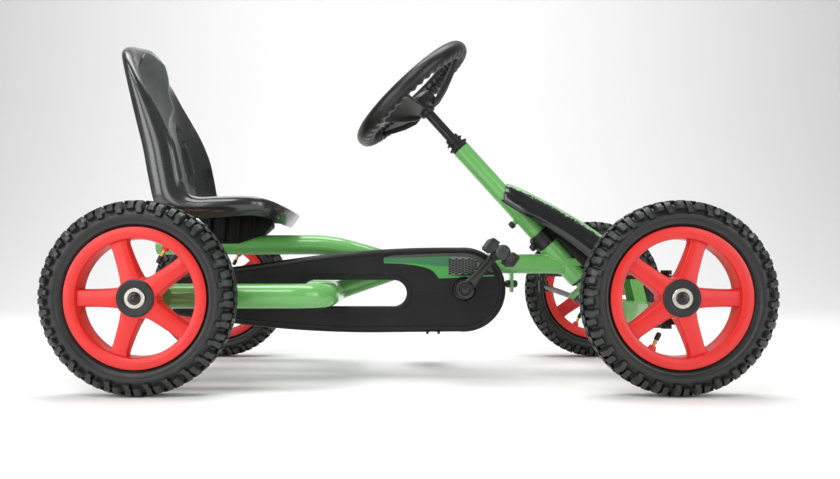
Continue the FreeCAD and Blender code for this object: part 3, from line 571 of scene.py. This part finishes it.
# share of the way down the skirt, and how far it bulges there, mm
SKIRT = ((0.05, 2.6), (0.15, 5.4), (0.32, 8.2), (0.54, 8.6), (0.78, 5), (1, -2))
SEAT_ROWS, SEAT_ACROSS = 170, 97
SEAT_WALL = 3.2


def smooth_between(value, low, high):
    """0 below low, 1 above high, eased in between."""
    share = np.clip((value - low) / (high - low), 0, 1)
    return share * share * (3 - 2 * share)


def plateau(value, foot, top, fall, end):
    """Rises from 0 to 1 between foot and top, and goes back to 0 between fall and end."""
    return smooth_between(value, foot, top) * (1 - smooth_between(value, fall, end))


def smooth_path(knots, count):
    """Rows of numbers run through by a Catmull-Rom curve; gives the path and the knot number along it."""
    knots = np.asarray(knots, float)
    where = np.linspace(0, len(knots) - 1, count)
    first = np.minimum(where.astype(int), len(knots) - 2)
    share = (where - first)[:, None]
    before, after = np.maximum(first - 1, 0), np.minimum(first + 2, len(knots) - 1)
    p0, p1, p2, p3 = knots[before], knots[first], knots[first + 1], knots[after]
    bend = 2 * p0 - 5 * p1 + 4 * p2 - p3 + share * (3 * (p1 - p2) + p3 - p0)
    return p1 + 0.5 * share * (p2 - p0 + share * bend), where


def seat_relief(t, q):
    """How far each spot is pushed in, mm, and its finish: 0 shell, 1 matt pad, 2 recesses and the slot,
    darkened as painted shade.

    t is the station number along the seat; q is the share of the half width across it.
    """
    q = np.abs(q)
    start = np.where(q < 0.2, 12.45, 12.45 + (q - 0.2) * 2.4)
    pad = plateau(t, start, start + 0.1, 17.3, 17.6) * (1 - smooth_between(q, 0.74, 0.78))
    centre = plateau(t, 10.2, 10.35, 12.1, 12.3) * (1 - smooth_between(q, 0.4, 0.43))
    low = plateau(t, 8.7, 8.8, 9.75, 9.85) * (1 - smooth_between(q, 0.24, 0.26))
    reach = np.hypot((t - 11.2) / 1.9, (q - 0.66) / 0.085)
    slot = 1 - smooth_between(reach, 0.62, 1.0)
    pan = plateau(t, 3.6, 3.9, 7.6, 7.9) * (1 - smooth_between(q, 0.55, 0.6))
    depth = 3.2 * centre + 2.0 * low + 8.5 * slot + 1.4 * pan - 1.8 * pad
    # the recesses and the slot take the darker plastic as painted shade
    recessed = (centre > 0.5) | (low > 0.5) | (slot > 0.3)
    return depth, np.where(recessed, 2, (pad > 0.5).astype(int))


def seat_grid():
    """The seat's sitting side with its skirt as rows of points, and the finish at each."""
    path, t = smooth_path(SEAT_STATIONS, SEAT_ROWS)
    width, rim, floor, edge = path[:, :1], path[:, 1:3], path[:, 3:5], path[:, 5:7]
    q = np.linspace(-1, 1, SEAT_ACROSS)
    climb = np.clip((np.abs(q) - 0.34) / 0.66, 0, 1) ** 2.1
    line = floor[:, None] + (rim - floor)[:, None] * climb[None, :, None]
    inner = np.stack([line[..., 0], width * q[None], line[..., 1]], axis=2)
    along, across = np.gradient(inner, axis=0), np.gradient(inner, axis=1)
    normal = np.cross(across, along)
    normal /= np.linalg.norm(normal, axis=2, keepdims=True)
    if normal[SEAT_ROWS // 2, SEAT_ACROSS // 2, 0] < 0:
        normal = -normal
    depth, kind = seat_relief(*np.meshgrid(t, q, indexing="ij"))
    inner -= normal * depth[:, :, None]
    share, bulge = np.array(SKIRT).T
    middle = rim[:, None] + (edge - rim)[:, None] * share[None, :, None]
    outer = width + bulge * np.minimum(width / 60, 1)
    right, left = (np.stack([middle[..., 0], side * outer, middle[..., 1]], axis=2) for side in (-1, 1))
    whole = np.concatenate([right[:, ::-1], inner, left], axis=1)
    return whole, np.pad(kind, ((0, 0), (len(SKIRT), len(SKIRT))))


def build_seat():
    """Bucket shell with its skirt, matt pads, and recesses darkened as painted shade."""
    points, kind = seat_grid()
    rows, columns = kind.shape
    piece = make_mesh("seat_bucket", points.reshape(-1, 3) * MM, grid_faces(rows, columns), SEAT_OUT)
    piece.data.materials.append(SEAT_IN)
    piece.data.materials.append(SEAT_RECESS_SHADE)
    piece.data.polygons.foreach_set("material_index", kind[:-1, :-1].reshape(-1))
    show(crisp(thicken(piece, SEAT_WALL * MM, UP), 50), "seat", "seat_plastic", "seat_shell")


def build_saddle():
    """Ribbed saddle block between the seat and the rail."""
    body = [(-394, 251), (-325, 251), (-280, 268), (-262, 284), (-268, 304), (-300, 307), (-372, 304)]
    body.append((-382, 296))
    half, rib_reach = 0.024, 0.029
    pieces = [prism("block", mm(body), -half, half, upright(), SADDLE, 0.0025)]
    ribs = [[(x, 254), (x + 6, 254), (x + 10, 303), (x + 4, 303)] for x in (-386, -358, -330)]
    ribs.append([(-299, 262), (-293, 264), (-289, 304), (-295, 304)])
    for side in (-1, 1):
        low, high = sorted((side * half, side * rib_reach))
        pieces += [prism("rib", mm(rib), low, high, upright(), SADDLE, 0.0012) for rib in ribs]
    show(join("ribbed_saddle", pieces), "seat", "black_steel", "seat_bracket")


# ---- chain guard ----
CRANK_X, CRANK_Z = 106, 163.5
GUARD_NEAR, GUARD_SPLIT, GUARD_FAR = -58, -40, -22.5        # Y of near face, parting plane, far face
SLOT_LEFT, SLOT_RIGHT, SLOT_LOW, SLOT_HIGH = -176, -27, 131, 181


def arc_through(first, middle, last, count):
    """Points along the circle through three spots, without the last one."""
    a, b, c = complex(*first), complex(*middle), complex(*last)
    ratio = (c - a) / (b - a)
    centre = a + (b - a) * (ratio - abs(ratio) ** 2) / (2j * ratio.imag)
    turned = [(spot - centre) / (a - centre) for spot in (b, c)]
    mid_turn, span = (math.atan2(way.imag, way.real) % math.tau for way in turned)
    if mid_turn > span:
        span -= math.tau
    turns = [span * k / count for k in range(count)]
    spots = [centre + (a - centre) * complex(math.cos(turn), math.sin(turn)) for turn in turns]
    return [(spot.real, spot.imag) for spot in spots]


def guard_loop():
    """The guard's edge as (X, Z) points."""
    loop = arc_through((98, 242.4), (-60, 238.2), (-203, 223.5), 40)
    loop += [(-203 - 217 * k / 20, 223.5 - 30 * k / 20) for k in range(20)]
    loop += arc_through((-420, 193.5), (-468, 156), (-428, 113), 24)
    loop += [(-428 + 103 * k / 10, 113 - 14.5 * k / 10) for k in range(10)]
    loop += arc_through((-325, 98.5), (-203, 86.5), (-60, 81.8), 30)
    loop += [(-60 + 156 * k / 14, 81.8 + 1.7 * k / 14) for k in range(14)]
    return loop + arc_through((96, 83.5), (185, 162.5), (98, 242.4), 60)


def slot_loop():
    """The slot's edge as (X, Z) points."""
    middle, half = (SLOT_LOW + SLOT_HIGH) / 2, (SLOT_HIGH - SLOT_LOW) / 2
    loop = []
    for x, start in ((SLOT_RIGHT, -90), (SLOT_LEFT, 90)):
        for k in range(25):
            turn = math.radians(start + 180 * k / 24)
            loop.append((x + half * math.cos(turn), middle + half * math.sin(turn)))
    return loop


def circle_loop(x, z, radius):
    """A round hole's edge as (X, Z) points."""
    return [(x + along, z + up) for along, up in (on_circle(radius, k, 48) for k in range(48))]


def offset_loop(loop, distance):
    """The loop moved sideways; a positive distance grows it."""
    spots = np.asarray(loop, float)
    after = np.roll(spots, -1, axis=0)
    run = after - np.roll(spots, 1, axis=0)
    normal = np.stack([run[:, 1], -run[:, 0]], axis=1) / np.linalg.norm(run, axis=1, keepdims=True)
    turning = np.sum(spots[:, 0] * after[:, 1] - after[:, 0] * spots[:, 1])
    return spots + normal * distance * (1 if turning > 0 else -1)


def walled_plate(name, loops, material):
    """A plate whose loops each carry rings of (offset, Y) down its edge; the last rings bound its face."""
    points, faces, bounds = [], [], []
    for loop, rings in loops:
        count, start = len(loop), len(points)
        for offset, y in rings:
            points += [Vector((x, y, z)) * MM for x, z in offset_loop(loop, offset)]
        wall = grid_faces(len(rings), count, wrap_columns=True)
        faces += [tuple(start + i for i in face) for face in wall]
        last = start + (len(rings) - 1) * count
        bounds += [(last + k, last + (k + 1) % count) for k in range(count)]
    piece = make_mesh(name, points, faces, material)

    def close(shape):
        edges = [shape.edges.get((shape.verts[a], shape.verts[b])) for a, b in bounds]
        bmesh.ops.triangle_fill(shape, use_beauty=True, use_dissolve=False, edges=edges)
        face_outward(shape)
    return crisp(edit(piece, close), 24)


def guard_rings(face_y):
    """Edge rings for the outline, the slot and the round holes of one half."""
    way = 1 if face_y > GUARD_SPLIT else -1
    half_gap, round_r = 0.25, 9
    top = abs(face_y - GUARD_SPLIT) - half_gap

    def y(height):
        return GUARD_SPLIT + way * (height + half_gap)
    edge = [(-0.7, y(0)), (0, y(0.8)), (0, y(top - round_r))]
    for turn in np.radians((15, 30, 45, 60, 75)):
        edge.append((-round_r * (1 - math.cos(turn)), y(top - round_r + round_r * math.sin(turn))))
    edge += [(-9, y(top)), (-10.2, y(top - 0.9)), (-11.8, y(top - 0.9)), (-12.8, y(top))]
    slot = [(0.7, y(0)), (0, y(0.8)), (0, y(top - 4)), (0.8, y(top - 2.2)), (2.6, y(top - 1.2))]
    slot += [(9.4, y(top - 1.1)), (10.3, y(top - 0.1)), (11.6, y(top))]
    hole = [(0.6, y(0)), (0, y(0.8)), (0, y(top - 5)), (1, y(top - 4.6)), (1.4, y(top + 0.6))]
    hole += [(3.6, y(top + 0.6)), (4.4, y(top))]
    return edge, slot, hole


def build_guard():
    """Both halves of the chain guard, with the near one's marks."""
    rear = centre_of("rear_sprocket")
    halves = (("near", GUARD_NEAR, "guard_outer"), ("far", GUARD_FAR, "guard_inner"))
    for name, face_y, node in halves:
        edge, slot, hole = guard_rings(face_y)
        loops = [(guard_loop(), edge), (slot_loop(), slot), (circle_loop(CRANK_X, CRANK_Z, 20.5), hole)]
        loops.append((circle_loop(rear.x / MM, rear.z / MM, 13), hole))
        show(walled_plate(f"guard_{name}_cover", loops, GUARD), "chassis", "guard_plastic", node)
    build_sticker()
    build_guard_marks()


def flat_patch(name, outline, y, thick, material, bevel=0.0):
    """A thin flat patch on the guard's near face, from (X, Z) corners."""
    return prism(name, mm(outline), 0, thick * MM, upright(y), material, bevel)


STICKER_Y = GUARD_NEAR - 0.02


def build_sticker():
    """The near half's sticker: leaf green swoosh, darker green inside it, olive band and honeycomb panel."""
    swoosh = [(-45, 222.7), (16, 223.4), (83, 225.6), (77, 206.5), (74, 190.3), (101, 189), (162, 191)]
    swoosh += [(161.7, 188), (100, 186), (81, 185), (58.5, 184.2), (54, 190), (49, 196.5), (42, 201.5)]
    swoosh += [(30.4, 205.4), (12.5, 209), (-12.7, 211.9), (-45, 213)]
    dark = [(-44.6, 222.4), (16, 223.1), (82.2, 225.2), (77, 206.8), (58, 206.6), (38, 209.3), (12.5, 212.2)]
    dark += [(-44.6, 214.6)]
    band = [(83, 225.6), (113, 224.5), (127.5, 219), (136.5, 211.9), (148, 203), (154, 196), (162, 196)]
    band += [(154, 210), (141, 221), (126, 228.5), (105, 232), (70, 231.4), (-30, 227.3), (-45, 222.7)]
    band.append((16, 223.4))
    panel = [(83, 225.4), (113, 224.2), (127, 218.6), (136, 211.7), (128, 199), (120, 192.4), (74, 190.5)]
    panel += [(77, 206.5)]
    layers = ((swoosh, 0.12, LEAF), (dark, 0.2, FERN), (band, 0.1, OLIVE), (panel, 0.2, MESH_GREY))
    patches = [flat_patch("layer", outline, STICKER_Y, thick, finish) for outline, thick, finish in layers]
    show(join("guard_sticker", patches + honeycomb()), "chassis", "guard_plastic")


def build_guard_marks():
    """The near half's parting line and the two clips under it."""
    lines = []
    for (x, z), (x2, z2) in (((138, 159.6), (183, 158.6)), ((10, 163.2), (78, 160))):
        outline = [(x, z), (x2, z2), (x2, z2 + 0.6), (x, z + 0.6)]
        lines.append(flat_patch("line", outline, STICKER_Y + 0.3, 0.45, SEAM))
    show(join("guard_parting_line", lines), "chassis", "guard_plastic")
    clips = [[(x - 3, 85), (x + 3, 85), (x + 2, 79.5), (x - 2, 79.5)] for x in (37, 58)]
    pieces = [flat_patch("clip", outline, -50, 9, GUARD, 0.0006) for outline in clips]
    show(join("guard_clips", pieces), "chassis", "guard_plastic")


def honeycomb():
    """Black long cells over the grey panel of the sticker."""
    cells = []
    wide, tall = 6.0, 4.4
    half, edge, rise = wide * 0.6, wide * 0.3, tall * 0.41
    corners = ((-half, 0), (-edge, rise), (edge, rise), (half, 0), (edge, -rise), (-edge, -rise))
    for row in range(8):
        for column in range(10):
            x = 79.5 + column * wide
            z = 193.5 + (row + (0.5 if column % 2 else 0)) * tall
            if x <= 133 - abs(z - 209) * 0.6 and z <= 221.5:
                hexagon = [(x + right, z + up) for right, up in corners]
                cells.append(flat_patch("cell", hexagon, STICKER_Y, 0.3, SEAM))
    return cells


# ---- front cover ----
HEAD_TOP = Vector((0.1042, 0, 0.4363))
HEAD_ANGLE = math.radians(47.7)
DOWN = Vector((math.cos(HEAD_ANGLE), 0, -math.sin(HEAD_ANGLE)))
OUT = Vector((math.sin(HEAD_ANGLE), 0, math.cos(HEAD_ANGLE)))
ACROSS = Vector((0, 1, 0))
# distance down the head tube, half width, lower edge and crest measured out from its axis, mm
COVER_STATIONS = ((111, 19, -12, 19), (118, 22, -11, 24), (140, 28, -7, 34), (177, 37, 1, 47),
                  (222, 46, 14, 62), (268, 54, 25, 75), (319, 63, 33, 86), (350, 67, 41, 93),
                  (372, 67, 54, 98))
COVER_LEAN, LEAN_FROM, LEAN_TO = 17, 111, 200       # how far its upper end slopes back, and where, mm
COVER_ROWS, COVER_COLUMNS, CREST = 60, 25, 12       # points along it and across it; the crest's column
PRINT_ROWS, PRINT_COLUMNS = range(2, 56), range(5, 19)      # faces that carry the print


def on_head(along, out=0.0, side=0.0):
    """A spot given by its distance down the head tube, out from its axis and to the left, mm."""
    return HEAD_TOP + (DOWN * along + OUT * out + ACROSS * side) * MM


def cover_section(half, low, high):
    """(side, out) spots of the left half of one section, from the crest to the lower edge."""
    tall = high - low
    section = [(0, high + 1.2), (0.2, high + 1), (0.4, high + 0.5), (0.56, high - 0.4), (0.62, high - 1)]
    section += [(0.66, high - 2.6), (0.78, high - 0.14 * tall), (0.9, high - 0.3 * tall)]
    section += [(0.98, high - 0.5 * tall), (1, high - 0.68 * tall), (0.97, high - 0.84 * tall)]
    section += [(0.9, low + 0.04 * tall), (0.84, low)]
    return [(half * share, out) for share, out in section]


def build_cover():
    """Domed cover before the head tube, its print on the crest."""
    stations, _ = smooth_path(COVER_STATIONS, COVER_ROWS)
    points = []
    for along, half, low, high in stations:
        left = cover_section(half, low, high)
        spots = [(-side, out) for side, out in reversed(left[1:])] + left
        lean = COVER_LEAN * (1 - smooth_between(along, LEAN_FROM, LEAN_TO)) / (high - low)
        points += [on_head(along + lean * (high - out), out, side) for side, out in spots]
    piece = make_mesh("front_fairing", points, grid_faces(COVER_ROWS, COVER_COLUMNS), GLOSS)
    piece.data.materials.append(DECAL)
    printed = [i in PRINT_ROWS and j in PRINT_COLUMNS
               for i in range(COVER_ROWS - 1) for j in range(COVER_COLUMNS - 1)]
    piece.data.polygons.foreach_set("material_index", [int(face) for face in printed])
    across = [0.82 * (abs(j - CREST) / 7) ** 2 for j in range(COVER_COLUMNS)]
    piece.data.attributes.new("edge", "FLOAT", "POINT").data.foreach_set("value", across * COVER_ROWS)
    show(crisp(soften(thicken(piece, 0.003, OUT), 0.0008, 60), 34), "chassis", "cover_gloss", "front_cover")


# ---- steering ----
WHEEL_MIDDLE = on_head(-142.4)
RING_R, GRIP_R, RIDGE, RIPPLES = 122, 16, 3.4, 44


def on_wheel(turn, radius, depth):
    """A spot on the steering wheel, by its angle from left, its radius and its depth down the column, mm."""
    away = ACROSS * math.cos(turn) + OUT * math.sin(turn)
    return WHEEL_MIDDLE + (away * radius + DOWN * depth) * MM


def build_wheel_ring():
    """Grip ring: smooth on top, with finger ridges underneath and inside."""
    around, section, points = RIPPLES * 8, 24, []
    for i in range(around):
        turn = 2 * math.pi * i / around
        wave = 0.5 + 0.5 * math.cos(RIPPLES * turn)
        for k in range(section):
            away, down = on_circle(1, k, section)
            below = max(0.0, down * 0.8 - away * 0.6) ** 0.7
            radius = GRIP_R - RIDGE * wave * below + 0.5
            points.append(on_wheel(turn, RING_R + radius * away, radius * down))
    return crisp(tube("ring", points, around, GRIP, closed=True), 50)


def wheel_spoke(turn):
    """Dished spoke: a tapering web with a rib down each side."""
    # radius, width, depth of the web and height of its ribs, mm
    stations = ((16, 30, 38, 8), (32, 36, 35, 11), (60, 48, 25, 12), (88, 62, 12, 12), (108, 78, 2, 10),
                (116, 84, -1, 8))
    across = ACROSS * -math.sin(turn) + OUT * math.cos(turn)
    points = []
    for radius, width, depth, rib in stations:
        half = width / 2
        section = [(-half, 0), (half, 0), (half, rib), (half - 3.5, rib), (half - 4.5, 4), (-half + 4.5, 4)]
        section += [(-half + 3.5, rib), (-half, rib)]
        points += [on_wheel(turn, radius, depth + down) + across * side * MM for side, down in section]
    return crisp(soften(tube("spoke", points, len(stations), GRIP), 0.001, 40), 30)


def build_steering():
    """Steering wheel: grip ring, three spokes and a deep hub."""
    pieces = [build_wheel_ring()] + [wheel_spoke(math.radians(angle)) for angle in (90, 210, 330)]
    hub = [(0.5, 9), (18, 10), (27, 13), (31, 18), (31, 34), (28, 38), (19, 40), (16, 42), (15, 50)]
    hub += [(12.5, 51), (10.4, 51), (10.4, 17), (0.5, 17)]
    pieces.append(lathe("hub", mm(hub), WHEEL_MIDDLE, DOWN, GRIP, closed=False))
    show(join("grip_wheel", pieces), "steering", "grip_plastic", "steering_wheel")


def build_collar():
    """Stepped collar on the column, with a ring of small teeth on each of its two flanges."""
    collar = [(10.2, -30), (12.5, -30), (13.5, -29), (13.8, -22), (16.2, -21), (16.6, -19), (16.2, -17)]
    collar += [(13.6, -16), (13.6, -12), (17.6, -11), (19, -9.5), (19, -6), (17.8, -4.8), (10.2, -4.8)]
    pieces = [lathe("body", mm(collar), HEAD_TOP, DOWN, SATIN, 60)]
    for k in range(14):
        turn = 2 * math.pi * k / 14
        away = ACROSS * math.cos(turn) + OUT * math.sin(turn)
        for depth, reach in ((-19, 16.6), (-8, 19.2)):
            foot = HEAD_TOP + (away * (reach - 1.2) + DOWN * depth) * MM
            pieces.append(bar("tooth", foot, foot + away * 0.0022, 0.0016, SATIN, steps=8))
    show(join("notched_collar", pieces), "steering", "black_plastic", "column_collar")


# ---- cranks and pedals ----
CRANK_MIDDLE = Vector((CRANK_X, 0, CRANK_Z)) * MM
CRANK_REACH, CRANK_ANGLE = 89.0, math.radians(49.0)
PEDAL_TILT = math.radians(36.0)


def squared(value):
    """A sine or cosine pushed out towards 1, for a rounded square section."""
    return math.copysign(abs(value) ** 0.6, value)


def crank_arm(side):
    """One arm: round boss, a waisted blade and the eye for the pedal's axle."""
    away = Vector((math.cos(CRANK_ANGLE), 0, math.sin(CRANK_ANGLE))) * -side
    across = Vector((-away.z, 0, away.x))
    axis = ACROSS * side
    # distance from the spindle, width, middle and thickness across the kart, mm
    stations = ((0, 27, 76, 10), (14, 24, 77, 10), (24, 19, 78, 11), (45, 16, 79, 11), (66, 15, 79, 11),
                (80, 17, 79, 11), (96, 17, 79, 11))
    points = []
    for reach, width, y, thick in stations:
        for step in range(16):
            u, v = on_circle(1.0, step, 16)
            spot = away * reach + across * squared(u) * width / 2 + axis * (y + squared(v) * thick / 2)
            points.append(CRANK_MIDDLE + spot * MM)
    blade = tube("blade", points, len(stations), BLACK_STEEL)
    boss = [(0.5, 62), (14, 62), (17.4, 64), (18, 67), (18, 80), (17, 84), (14, 86.4), (11.5, 86.8)]
    boss += [(10.5, 85.8), (8, 85.6), (6.5, 87.6), (3, 88.6), (0.5, 88.8)]
    hub = lathe("boss", mm(boss), CRANK_MIDDLE, axis, BLACK_STEEL, closed=False)
    eye = [(0.5, 72), (9.8, 72), (11, 73.2), (11, 84.6), (9.8, 86), (0.5, 86)]
    end = CRANK_MIDDLE + away * CRANK_REACH * MM
    tip = lathe("eye", mm(eye), end, axis, BLACK_STEEL, 36, closed=False)
    axle = bar("axle", end + axis * 0.08, end + axis * 0.172, 0.005, BLACK_STEEL)
    return [crisp(blade, 40), hub, tip, axle], end


def build_pedal(name, side, end):
    """Pedal: two ribbed tread blocks joined by end plates round a barrel."""
    turn = Matrix.Rotation(PEDAL_TILT, 3, "Y")
    long, up = turn @ Vector((1, 0, 0)), turn @ UP
    place = Matrix(((long.x, 0, up.x, end.x), (long.y, side, up.y, end.y), (long.z, 0, up.z, end.z),
                    (0, 0, 0, 1)))
    pieces = []

    def add_box(x_span, y_low, y_high, z_low, z_high, bevel):
        x_low, x_high = sorted(x_span)
        outline = [(x_low, y_low), (x_high, y_low), (x_high, y_high), (x_low, y_high)]
        pieces.append(prism("block", mm(outline), z_low * MM, z_high * MM, place, PEDAL, bevel * MM))
    for way in (-1, 1):
        for k in range(4):
            x = way * 21 + (k - 1.5) * 3.9
            add_box((x - 1.1, x + 1.1), 173, 176.4, -10.2 + k % 2, 10.2 - k % 2, 0.6)
        add_box((way * 14.5, way * 27.5), 94, 174, -9, 9, 1.2)
        for k in range(9):
            y = 95.5 + k * 9.3
            add_box((way * 13.9, way * 28.1), y, y + 4.4, 8.5, 11.5, 0.9)
            add_box((way * 13.9, way * 28.1), y, y + 4.4, -11.5, -8.5, 0.9)
            add_box((way * 27, way * 30), y, y + 4.4, -9.5, 9.5, 0.9)
    for y_low, y_high in ((92, 97), (171, 176)):
        add_box((-22, 22), y_low, y_high, -6.5, 6.5, 1.5)
    barrel = [(5.2, 92), (12.2, 92), (13, 93), (12, 98), (9.5, 102), (9.5, 166), (12, 168), (13.6, 171)]
    barrel += [(13.6, 173.6), (12.6, 175.8), (10.4, 177.4), (7, 178.6), (0.4, 179), (0.4, 173), (5.2, 173)]
    pieces.append(lathe("barrel", mm(barrel), end, ACROSS * side, PEDAL, 36))
    show(join(f"ribbed_pedal_{name}", pieces), f"pedal_{name}", "pedal_plastic", f"pedal_{name}")


def build_cranks():
    """Spindle and both arms as one piece, and the two pedals."""
    half = ACROSS * 0.066
    pieces = [bar("spindle", CRANK_MIDDLE - half, CRANK_MIDDLE + half, 0.008, BLACK_STEEL)]
    for name, side in SIDES.items():
        arm, end = crank_arm(side)
        pieces += arm
        build_pedal(name, side, end)
    show(join("forged_crank", pieces), "cranks", "black_steel", "crank")


# ---- frame details ----
def build_weld():
    """Weld bead where the spine meets the head tube, with the ripples of its passes."""
    spine_z, spine_r, head_r, bead_r = 0.212, 0.019, 0.0206, 0.0024
    count, section = 96, 8
    path, points = [], []
    for k in range(count):
        y, rise = on_circle(spine_r, k, count)
        out = -math.sqrt(head_r ** 2 - y ** 2)
        along = (HEAD_TOP.z + OUT.z * out - (spine_z + rise)) / -DOWN.z
        path.append(HEAD_TOP + DOWN * along + OUT * out + ACROSS * y)
    for k, spot in enumerate(path):
        turn = frame_of((path[(k + 1) % count] - path[k - 1]).normalized())
        size = bead_r * (1 + 0.14 * math.sin(k * 1.9))
        points += [spot + turn @ Vector((*on_circle(size, a, section), 0)) for a in range(section)]
    show(tube("weld_head", points, count, GREEN, closed=True), "chassis", "green_paint")


TAB_BOLT = Vector((0.202, 0, 0.173))


def build_tab_bolt():
    """The domed heads of the bolt through the nose tab."""
    dome = mm([(0.4, 3), (6.8, 3), (7.4, 3.8), (7.4, 8), (6.2, 10.8), (4, 12.4), (0.4, 13)])
    heads = [lathe("dome", dome, TAB_BOLT, (way, 0, 0), BLACK_STEEL, 36, closed=False) for way in (-1, 1)]
    show(join("domed_tab_bolt", heads), "chassis", "bolt_steel", "frame_bolts")


def build_knobs():
    """Two small knobs behind the head tube."""
    knob = mm([(2, 22), (5.8, 22), (7, 23.4), (7, 28), (5.5, 31), (0.4, 32)])
    pieces = []
    for along, stub_finish in ((177, GREEN), (237, SATIN)):
        pieces.append(bar("stub", on_head(along, -17), on_head(along, -24), 0.0052, stub_finish))
        pieces.append(lathe("knob", knob, on_head(along), -OUT, SATIN, 20, closed=False))
    show(join("head_knobs", pieces), "chassis", "black_plastic")


def build_head_foot():
    """The sleeve and bush lip at the head tube's foot, and the web between it and the front cover."""
    sleeve = mm([(17.5, 253), (20, 253), (20.6, 253.8), (20.6, 340.2), (20, 341), (14.8, 341),
                 (14.8, 329.6), (17.5, 329.6)])
    show(lathe("head_sleeve", sleeve, HEAD_TOP, DOWN, GREEN, 60), "chassis", "green_paint")
    lip = mm([(14.8, 341), (18, 341), (18.8, 341.8), (18.8, 345.2), (18, 346), (14.8, 346)])
    show(lathe("head_lip", lip, HEAD_TOP, DOWN, SATIN, 60), "chassis", "black_plastic")
    plane = Matrix(((DOWN.x, OUT.x, 0, HEAD_TOP.x), (0, 0, 1, 0), (DOWN.z, OUT.z, 0, HEAD_TOP.z),
                    (0, 0, 0, 1)))
    web = mm([(248, 17.6), (268, 31), (319, 40), (350, 50), (360, 46), (344, 17.6)])
    show(prism("cover_web", web, -0.022, 0.022, plane, SATIN, 0.0025), "chassis", "black_plastic")


def build_strap():
    """The clamp band round the head tube, with its lug."""
    strap = mm([(17.4, 222), (20.4, 222), (21.4, 223.2), (21.6, 237), (21.4, 250.8), (20.4, 252),
                (17.4, 252)])
    band = lathe("band", strap, HEAD_TOP, DOWN, SATIN, 60)
    lug = bar("lug", on_head(225, -17, 4), on_head(249, -17, 4), 0.0065, SATIN)
    show(join("strap_band", [band, lug]), "chassis", "black_plastic", "clamp_band")


# ---- stage, lights, camera ----
def build_backdrop():
    """A pale floor that curves up into a wall."""
    reach, near, far, curve, top = 9.0, -8.0, 2.2, 2.0, 8.0
    profile = [(near, 0.0), (far, 0.0)]
    profile += [(far + curve * math.sin(a), curve * (1 - math.cos(a))) for a in np.radians(range(6, 91, 6))]
    profile.append((far + curve, top))
    corners = [(x, y, z) for y, z in profile for x in (-reach, reach)]
    pale = Finish("floor", (0.9, 0.9, 0.9, 1), 0.95).material
    make_mesh("backdrop", corners, grid_faces(len(profile), 2), pale)


# name, place, width, height, power in watts
LAMPS = (("key", (-1.1, -2.0, 2.8), 1.8, 0.9, 34), ("top", (0, 0.2, 3.2), 2.6, 1.3, 66),
         ("left_strip", (-2.3, -1.5, 0.9), 0.9, 1.6, 20), ("right_strip", (2.3, -1.7, 0.9), 0.7, 1.6, 16),
         ("near_left", (-1.1, -1.75, 0.8), 0.6, 1.2, 8), ("near_right", (1.2, -1.8, 0.8), 0.5, 1.2, 5),
         ("wall", (0, 1.4, 3.4), 4.0, 2.0, 62))


def build_lights():
    """Soft studio lamps aimed at the kart, one at the wall behind it, and a dim white world."""
    world = bpy.context.scene.world = bpy.data.worlds.new("studio")
    world.use_nodes = True
    fill(world.node_tree.nodes["Background"], {"Color": (1, 1, 1, 1), "Strength": 0.3})
    for name, spot, width, height, power in LAMPS:
        lamp = bpy.data.lights.new(name, "AREA")
        lamp.shape, lamp.size, lamp.size_y, lamp.energy = "RECTANGLE", width, height, power
        holder = add_object(name, lamp)
        holder.location = spot
        aim = Vector((0, 4.0, 1.2)) if name == "wall" else Vector((0, 0, 0.25))
        holder.rotation_euler = (aim - Vector(spot)).to_track_quat("-Z", "Y").to_euler()


def build_camera():
    """The camera, level and square to the kart's right side."""
    lens = bpy.data.cameras.new("camera")
    lens.sensor_width, lens.lens = 36.0, 33.6
    lens.shift_x, lens.shift_y = 0.0189, 0.0346
    camera = bpy.context.scene.camera = add_object("camera", lens)
    camera.location = (-0.0069, -1.5313, 0.2027)
    camera.rotation_euler = (math.radians(90), 0, 0)
    bpy.context.scene.view_settings.view_transform = "Standard"


dress_cad_nodes()
build_wheels()
build_seat()
build_saddle()
build_guard()
build_cover()
build_steering()
build_collar()
build_cranks()
build_weld()
build_tab_bolt()
build_knobs()
build_head_foot()
build_strap()
build_backdrop()
build_lights()
build_camera()
